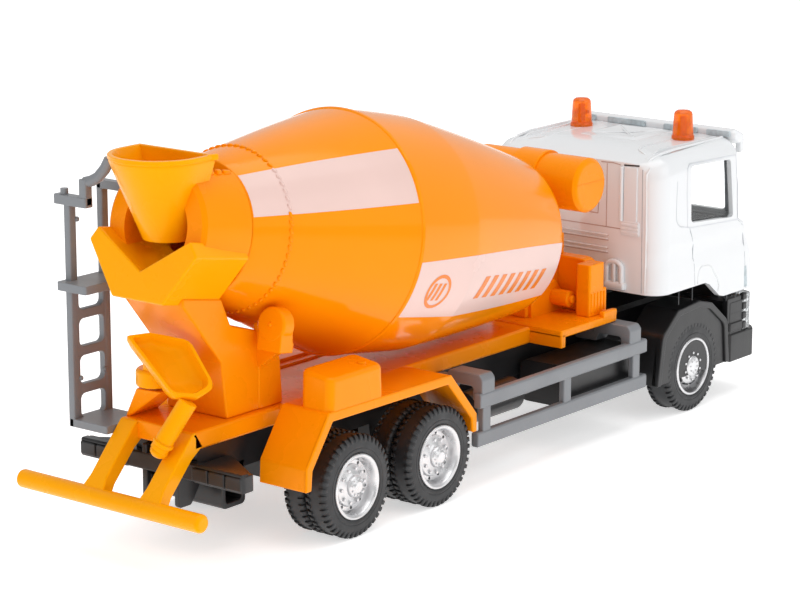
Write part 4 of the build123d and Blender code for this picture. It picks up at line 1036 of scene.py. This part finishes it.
door_rear = [(61.9, 41.1), (62.6, 38.9), (63.1, 37.4), (63.3, 34.6), (63.6, 33.0), (64.2, 28.2)]
door_front = [(81.2, 39.8), (82.6, 38.7), (83.3, 36.5), (84.0, 32.0), (85.0, 24.0)]
flap_line = [(65.3, 28.3), (65.3, 30.2)] + arc(67.0, 30.2, 1.7, 180, 90, 6) + [(69.6, 31.7), (70.6, 31.2),
                                                                               (73.0, 28.2), (73.9, 26.6),
                                                                               (73.6, 25.2)]
recess_line = [(61.4, 55.0), (60.6, 54.3), (60.5, 49.0), (61.0, 41.5)]
recess_corner = [(56.7, 52.0), (56.5, 46.0)] + arc(59.2, 44.6, 2.7, 180, 268, 8) + [(61.9, 41.3)]
frame_line = [(61.5, 55.1), (79.6, 54.6), (80.9, 47.0), (81.2, 40.0), (62.0, 41.2)]
for side_name, s in (("left", 1), ("right", -1)):
    panel_lines("look_door_lines_" + side_name, [on_side(p, s) for p in (door_rear, door_front)], line_grey,
                0.16, 0.02, side=s)
    panel_lines("look_soft_lines_" + side_name, [on_side(p, s) for p in (recess_line, recess_corner,
                                                                         frame_line)], soft_line, 0.2, 0.03,
                side=s)
    ridge = Shape()
    for k in range(len(flap_line) - 1):
        (x0, z0), (x1, z1) = flap_line[k:k + 2]
        ridge.rod(0.2, (x0, s * 22.42, z0), (x1, s * 22.42, z1), 8, round_ends=0.1)
    piece("look_fuel_flap_" + side_name, ridge, white, "chassis", edge=0)
    sill = Shape()
    for x, z0, z1, y in ((84.6, 24.2, 31.6, 22.1),):
        sill.prism([(x - 0.2, z0), (x - 0.9, z1 + 1.2), (x + 0.1, z1 + 1.4), (x + 1.0, z0)],
                   *sorted((s * (y - 0.3), s * (y + 0.36))))
    piece("look_door_edge_" + side_name, sill, trim_light, "chassis", edge=0.1)
    frame_bar = Shape().prism([(78.6, 53.7), (79.5, 41.4), (80.2, 41.4), (79.3, 53.7)],
                              *sorted((s * 20.6, s * 21.9)))
    frame_bar.prism([(79.0, 53.2), (79.8, 41.8), (80.1, 41.8), (79.3, 53.2)], *sorted((s * 19.6, s * 20.6)))
    piece("look_window_edge_" + side_name, frame_bar, trim_grey, "chassis", edge=0.12)

# ---- roof: rims, ridges and the creased hatch
roof = Shape()


def roof_z(x, y):
    return 58.2 - roof_drop(x) - 3.4 * 0.0 * y


def roof_strip(path, half, h):
    """A low ridge following a line over the roof."""
    rows = []
    for k, (x, y) in enumerate(path):
        p0, p1 = path[max(k - 1, 0)], path[min(k + 1, len(path) - 1)]
        d = Vector((p1[0] - p0[0], p1[1] - p0[1])).normalized()
        n = Vector((-d.y, d.x)) * half
        z = roof_z(x, y)
        fade = 0.15 if k in (0, len(path) - 1) else 1.0
        rows.append([(x - n.x, y - n.y, z - 0.5), (x + n.x, y + n.y, z - 0.5),
                     (x + n.x * 0.6, y + n.y * 0.6, z + h * fade),
                     (x - n.x * 0.6, y - n.y * 0.6, z + h * fade)])
    roof.loft(rows)


def curve(points, steps=8):
    return [tuple(p[:2]) for p in rounded([(x, y) for x, y in points],
                                          [0] + [3.0] * (len(points) - 2) + [0], steps)]


for s in (1, -1):
    roof_strip(curve([(52.6, s * 17.0), (57.5, s * 16.9), (79.0, s * 17.2)]), 0.55, 0.42)
    roof_strip(curve([(54.5, s * 15.6), (56.2, s * 12.2), (79.0, s * 12.0)]), 0.4, 0.3)
HX, HR = 70.2, 7.2
roof.loft([[(HX - HR, -HR, 57.6), (HX + HR, -HR, 57.6), (HX + HR, HR, 57.6), (HX - HR, HR, 57.6)],
           [(HX - HR, -HR, 58.4), (HX + HR, -HR, 58.4), (HX + HR, HR, 58.4), (HX - HR, HR, 58.4)],
           [(HX - HR + 0.9, -HR + 0.9, 58.75), (HX + HR - 0.9, -HR + 0.9, 58.75),
            (HX + HR - 0.9, HR - 0.9, 58.75), (HX - HR + 0.9, HR - 0.9, 58.75)],
           [(HX - HR + 1.7, -HR + 1.7, 58.72), (HX + HR - 1.7, -HR + 1.7, 58.72),
            (HX + HR - 1.7, HR - 1.7, 58.72), (HX - HR + 1.7, HR - 1.7, 58.72)],
           [(HX - 0.05, -0.05, 58.3), (HX + 0.05, -0.05, 58.3), (HX + 0.05, 0.05, 58.3),
            (HX - 0.05, 0.05, 58.3)]])
for s in (1, -1):
    a, b = Vector((HX - HR + 1.9, s * (HR - 1.9), 58.66)), Vector((HX + HR - 1.9, -s * (HR - 1.9), 58.66))
    w = Vector((0.28, s * 0.28, 0))
    m = Vector((HX, 0, 58.42))
    roof.loft([[p - w, p + w, p + Vector((0, 0, 0.16))] for p in (a, m, b)])
piece("look_roof_panels", roof, white, "chassis", edge=0.14)
gutter = Shape()
for s in (1, -1):
    gutter.tube_path(0.34, [(50.7, s * 17.9, 54.9), (50.9, s * 18.0, 55.9), (52.4, s * 18.3, 56.9),
                            (55.5, s * 18.7, 57.7), (60.0, s * 18.9, 58.1), (79.0, s * 19.0, 58.15)], 10)
    gutter.tube_path(0.3, [(50.25, s * 18.8, 28.6), (50.2, s * 18.9, 42.0), (50.25, s * 18.7, 54.2),
                           (50.9, s * 19.2, 55.4)], 10)
piece("look_roof_ridges", gutter, white, "chassis", edge=0)

# ---- rear wall of the cab
wall = Shape()
for s in (-1, 1):
    y0, y1 = sorted((s * 13.3, s * 16.6))
    wall.slab(49.75, 50.4, y0, y1, 43.5, 55.3, 0.25, "x", 2)
    wall.rod(0.42, (49.75, s * 12.75, 43.4), (49.75, s * 12.75, 55.2), 12, round_ends=0.2)
    for z in (40.95, 41.75, 42.55):
        wall.slab(49.55, 50.3, *sorted((s * 12.8, s * 17.1)), z, z + 0.55, 0.2, "x", 2)
    wall.slab(49.7, 50.3, *sorted((s * 12.6, s * 17.3)), 40.5, 43.6, 0.4, "x", 2)
    wall.rod(0.95, (49.75, s * 9.0, 29.3), (49.75, s * 14.2, 29.3), 20, round_ends=0.6)
    loop = [(s * (11.3 - 1.9 * math.cos(math.radians(t))), 33.2 + 1.3 * math.sin(math.radians(t)))
            for t in range(0, 181, 20)]
    wall.tube_path(0.6, [(49.6, y, z) for y, z in [(s * 9.4, 29.3)] + loop + [(s * 13.2, 29.3)]], 12)
    wall.rod(0.5, (49.6, s * 11.3, 29.3), (49.6, s * 11.3, 34.3), 12)
for z in (36.1, 38.9):
    for dz in (0.0, 0.85):
        wall.slab(49.72, 50.3, -9.2, 9.2, z + dz, z + dz + 0.35, 0.15, "x", 2)
piece("look_cab_rear_ribs", wall, white, "chassis", edge=0.1)
# Rear-wall seams in the seam colour whose pink tint is painted bounce light from the orange drum.
panel_lines("look_cab_rear_seams", [[(49.98, -8.8, 55.4), (49.98, -8.8, 41.7), (49.98, 8.8, 41.7),
                                     (49.98, 8.8, 55.4)], [(49.98, -12.4, 41.7), (49.98, -8.8, 41.7)],
                                    [(49.98, -7.1, 51.6), (49.98, -6.6, 44.4), (49.98, 6.6, 44.4),
                                     (49.98, 7.1, 51.6)], [(49.98, -9.4, 39.85), (49.98, 9.4, 39.85)],
                                    [(49.98, -9.4, 38.8), (49.98, 9.4, 38.8)],
                                    [(49.98, -9.4, 37.05), (49.98, 9.4, 37.05)],
                                    [(49.98, -9.4, 36.0), (49.98, 9.4, 36.0)],
                                    [(49.98, -7.3, 55.65), (49.98, -10.4, 55.75), (49.98, -12.2, 55.5)]],
            seam_with_painted_bounce, 0.2, 0.02, rear=True)
panel_lines("look_cab_rear_slots", [[(49.98, -13.2, 55.55), (49.98, -16.9, 55.75)],
                                    [(49.98, 13.2, 55.55), (49.98, 16.9, 55.75)]], inside_dark, 0.34, 0.02,
            rear=True)
panel_lines("look_cab_rear_edges", [[(49.99, s * 17.85, 55.0), (49.99, s * 18.1, 28.4)] for s in (1, -1)],
            line_grey, 0.2, 0.02, rear=True)
grille = Shape()
for k in range(5):
    grille.slab(88.0, 89.3, -13.5, 13.5, 25.0 + 2.0 * k, 26.1 + 2.0 * k, 0.3, "y", 2)
piece("look_front_grille", grille, inside_dark, "chassis", edge=0.15)

# ---- glazing, visor, beacons
panes = Shape()
for s in (1, -1):
    y0, y1 = sorted((s * 21.0, s * 21.3))
    panes.prism([(61.4, 40.2), (61.2, 55.4), (78.3, 55.0), (80.3, 40.2)], y0, y1)
panes.prism([(80.6, 41.0), (80.9, 41.0), (79.9, 55.4), (79.6, 55.4)], -19.4, 19.4)
piece("look_glazing", panes, glass, "chassis", also=["cab_glazing"], edge=0)
visor = Shape()
rows = []
for y in (-21.7, -20.6, 20.6, 21.7):
    k = 0.8 if abs(y) > 21 else 1.0
    rows.append([(82.0 + (x - 82.0) * k, y, 58.2 + (z - 58.2) * k) for x, z in
                 ((80.0, 58.0), (79.8, 59.4), (81.2, 60.0), (84.2, 58.6), (84.5, 57.2), (82.2, 56.4))])
visor.loft(rows)
for y0, y1 in ((-21.6, -20.1), (20.1, 21.6)):
    visor.prism([(82.5, 57.6), (84.2, 57.5), (84.1, 54.8), (82.8, 54.4)], y0, y1)
piece("look_sun_visor", visor, white, "chassis", also=["sun_visor"], edge=0.35)
gaps = Shape()
for y0, y1 in ((-20.6, -14.6), (-12.2, -3.4), (1.5, 11.6), (14.9, 20.6)):
    gaps.slab(79.45, 80.1, y0, y1, 58.25, 59.5, 0.25, "x", 2)
piece("look_visor_gaps", gaps, trim_light, "chassis", edge=0.1)
for side_name, s in (("left", 1), ("right", -1)):
    lo, hi = (Vector(p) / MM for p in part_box(f"beacon_{side_name}"))
    cx, cy = (lo.x + hi.x) / 2, (lo.y + hi.y) / 2
    lamp = Shape().turn([(0, 2.5), (0.6, 2.5), (0.85, 2.42), (1.0, 2.3), (5.4, 2.05), (5.95, 1.85),
                         (6.3, 1.35), (6.4, 0.02)], (cx, cy, lo.z), (0, 0, 1), 48)
    piece("look_beacon_" + side_name, lamp, beacon, "chassis", also=[f"beacon_{side_name}"], edge=0)
    core = Shape().turn([(0.3, 1.8), (0.8, 1.7), (1.1, 0.6), (2.6, 0.55), (2.9, 1.2), (3.4, 1.15),
                         (3.8, 0.5), (4.9, 0.55), (5.1, 0.02)], (cx, cy, lo.z), (0, 0, 1), 24)
    piece("look_beacon_core_" + side_name, core, beacon_core, "chassis", edge=0)

# ---------------------------------------------------------------- black lower cab, bumper and lamps
base = Shape()
base.prism(rounded([(50.6, 21.4), (50.6, 28.2), (68.3, 28.2), (70.0, 27.5), (74.3, 24.3), (76.0, 23.9),
                    (84.6, 23.9), (84.6, 21.4)], 0.1), -22.2, 22.2)
ARCH = rounded([(50.55, 8.2), (52.3, 19.0), (58.2, 23.7), (66.4, 24.35), (71.5, 23.1), (78.0, 18.05),
                (79.1, 8.3)], [0, 2.5, 2.5, 3.0, 3.0, 2.5, 0], 4)
base.prism(ARCH, 13.9, 21.9)
base.prism(ARCH, -21.9, -13.9)
wells = []
for s in (1, -1):
    well = Shape().rod(11.5, (64.9, s * 13.0, 10.0), (64.9, s * 30.0, 10.0), 64)
    well.block(53.4, 76.4, *sorted((s * 13.0, s * 30.0)), 0.0, 10.0)
    wells.append(well)
piece("look_cab_base", base, black, "chassis", "cab_base", (50.55, -22.4, 8.2), 0.3, cuts=wells)
INNER = rounded([(52.1, 8.2), (53.7, 18.3), (58.8, 22.3), (66.2, 22.9), (70.8, 21.8), (76.7, 17.3),
                 (77.6, 8.3)], [0, 2.5, 2.5, 3.0, 3.0, 2.5, 0], 4)
for side_name, s in (("left", 1), ("right", -1)):
    flare = Shape().prism(ARCH + INNER[::-1], *sorted((s * 20.6, s * 22.4)))
    for x0, z0, z1 in ((79.4, 8.0, 14.2), ):
        flare.slab(79.2, 84.4, *sorted((s * 20.9, s * 22.3)), z0, z1, 0.4, "z", 2)
    for z in (14.8, 17.1, 19.4):
        flare.slab(79.2, 84.5, *sorted((s * 20.9, s * (22.3 - 0.12 * (z - 14.8)))), z, z + 1.9, 0.35, "z",
                   2)
    flare.block(78.6, 84.3, *sorted((s * 20.4, s * 21.9)), 8.4, 22.4)
    for k in range(4):
        flare.slab(84.55, 86.0, *sorted((s * 21.2, s * 22.25)), 14.6 + 2.15 * k, 16.3 + 2.15 * k, 0.3, "x",
                   2)
    piece("look_arch_flare_" + side_name, flare, black, "chassis", edge=0.28)
    spans = [(58.3, 25.0, 27.8), (63.6, 25.0, 27.8), (77.4, 22.4, 23.6), (81.2, 22.4, 23.6)]
    seams = [[(x, s * 22.2, z0), (x, s * 22.2, z1)] for x, z0, z1 in spans]
    panel_lines("look_sill_seams_" + side_name, seams, inside_dark, 0.25, 0.03, side=s)
plan = rounded([(79.4, -22.4), (88.6, -22.4), (90.9, -20.6), (91.75, -16.0), (91.75, 16.0), (90.9, 20.6),
                (88.6, 22.4), (79.4, 22.4)], [0.3, 1.2, 1.5, 1.0, 1.0, 1.5, 1.2, 0.3], 4)
bumper = Shape().prism(plan, 7.9, 14.15, "z")
inner_cut = Shape().block(70.0, 85.6, -20.6, 20.6, 5.0, 16.0)
piece("look_bumper", bumper, black, "chassis", "bumper", (79.4, -22.4, 7.9), 0.45, cuts=[inner_cut])
fascia = Shape().block(82.2, 87.8, -15.3, 15.3, 13.6, 23.7)
fascia.block(79.4, 84.6, -22.0, 22.0, 12.0, 21.4)
for k in range(4):
    fascia.slab(87.4, 88.4, -12.8, 12.8, 14.9 + 2.1 * k, 16.2 + 2.1 * k, 0.3, "y", 2)
piece("look_fascia", fascia, black, "chassis", edge=0.3)
for side_name, s in (("left", 1), ("right", -1)):
    lo, hi = (Vector(p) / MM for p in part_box(f"headlamp_{side_name}"))
    lp = rounded([(84.7, 15.4), (89.6, 15.4), (90.0, 18.0), (88.9, 21.2), (87.6, 22.0), (84.7, 22.0)],
                 [0.2, 0.6, 1.5, 1.0, 0.8, 0.2], 4)
    lens_part = Shape().prism(lp, 14.4, hi.z, "z")
    bowl = Shape()
    for k in range(3):
        z = 15.9 + 2.45 * k
        bowl.turn([(0.0, 0.9), (0.1, 1.15), (1.5, 0.95), (2.6, 0.5), (2.9, 0.02)][::-1],
                  (88.8 - 0.2 * k, 19.3, z), (-1, 0, 0), 24)
    bowl.block(85.4, 86.2, 15.8, 21.6, 14.6, hi.z - 0.2)
    for k in range(3):
        bowl.turn([(0.0, 0.02), (0.0, 0.85), (0.5, 0.6), (0.8, 0.02)], (87.0, 21.2, 15.9 + 2.45 * k),
                  (0, 1, 0), 20)
    if s < 0:
        lens_part.flip_y()
        bowl.flip_y()
    piece("look_headlamp_" + side_name, lens_part, lens, "chassis", also=[f"headlamp_{side_name}"],
          edge=0.3)
    piece("look_headlamp_bowls_" + side_name, bowl, chrome, "chassis", edge=0.08)

# ---------------------------------------------------------------- floor, light and camera
floor_mat = bpy.data.materials.new("floor")
floor_mat.use_nodes = True
fnodes, flinks = floor_mat.node_tree.nodes, floor_mat.node_tree.links
fbsdf = fnodes["Principled BSDF"]
fnoise = fnodes.new("ShaderNodeTexNoise")
fcoord = fnodes.new("ShaderNodeTexCoord")
framp = fnodes.new("ShaderNodeValToRGB")
fnoise.inputs["Scale"].default_value = 9.0
framp.color_ramp.elements[0].color = (0.90, 0.90, 0.90, 1)
framp.color_ramp.elements[1].color = (0.93, 0.93, 0.93, 1)
flinks.new(fcoord.outputs["Object"], fnoise.inputs["Vector"])
flinks.new(fnoise.outputs["Fac"], framp.inputs["Fac"])
flinks.new(framp.outputs["Color"], fbsdf.inputs["Base Color"])
fbsdf.inputs["Roughness"].default_value = 0.7
fbsdf.inputs["Emission Color"].default_value = (1, 1, 1, 1)
fbsdf.inputs["Emission Strength"].default_value = 0.55
floor_mesh = bpy.data.meshes.new("floor")
floor_mesh.from_pydata([(-6, -6, 0), (6, -6, 0), (6, 6, 0), (-6, 6, 0)], [], [(0, 1, 2, 3)])
floor_mesh.materials.append(floor_mat)
floor = bpy.data.objects.new("floor", floor_mesh)
bpy.context.scene.collection.objects.link(floor)
floor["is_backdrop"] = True

world = bpy.data.worlds.new("studio")
bpy.context.scene.world = world
world.use_nodes = True
background = world.node_tree.nodes["Background"]
background.inputs["Color"].default_value = (1, 1, 1, 1)
background.inputs["Strength"].default_value = 0.62
bpy.context.scene.view_settings.view_transform = "Standard"
bpy.context.scene.view_settings.look = "None"


def area(name, place, target, size_x, size_y, power, color=(1, 1, 1)):
    light = bpy.data.lights.new(name, "AREA")
    light.shape = "RECTANGLE"
    light.size, light.size_y, light.energy, light.color = size_x, size_y, power, color
    obj = bpy.data.objects.new(name, light)
    obj.location = place
    obj.rotation_mode = "QUATERNION"
    obj.rotation_quaternion = (Vector(target) - Vector(place)).to_track_quat("-Z", "Y")
    bpy.context.scene.collection.objects.link(obj)
    obj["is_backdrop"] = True
    return obj


area("top_softbox", (0.0, -0.05, 0.62), (0, 0, 0), 0.7, 0.5, 1.7)
area("right_softbox", (0.12, -0.62, 0.34), (0, 0, 0.03), 0.6, 0.4, 0.6)
area("rear_softbox", (-0.62, -0.1, 0.40), (0, 0, 0.03), 0.4, 0.4, 0.3)

camera = bpy.data.cameras.new("camera")
camera.lens = 127.9
camera.sensor_width = 36.0
camera.clip_start, camera.clip_end = 0.01, 20
cam = bpy.data.objects.new("camera", camera)
look = Vector((0.75975, 0.60832, -0.22963))
cam.rotation_mode = "QUATERNION"
cam.rotation_quaternion = look.to_track_quat("-Z", "Y")
cam.location = Vector((-441.99, -346.24, 165.93)) * MM
bpy.context.scene.collection.objects.link(cam)
bpy.context.scene.camera = cam

lo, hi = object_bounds()
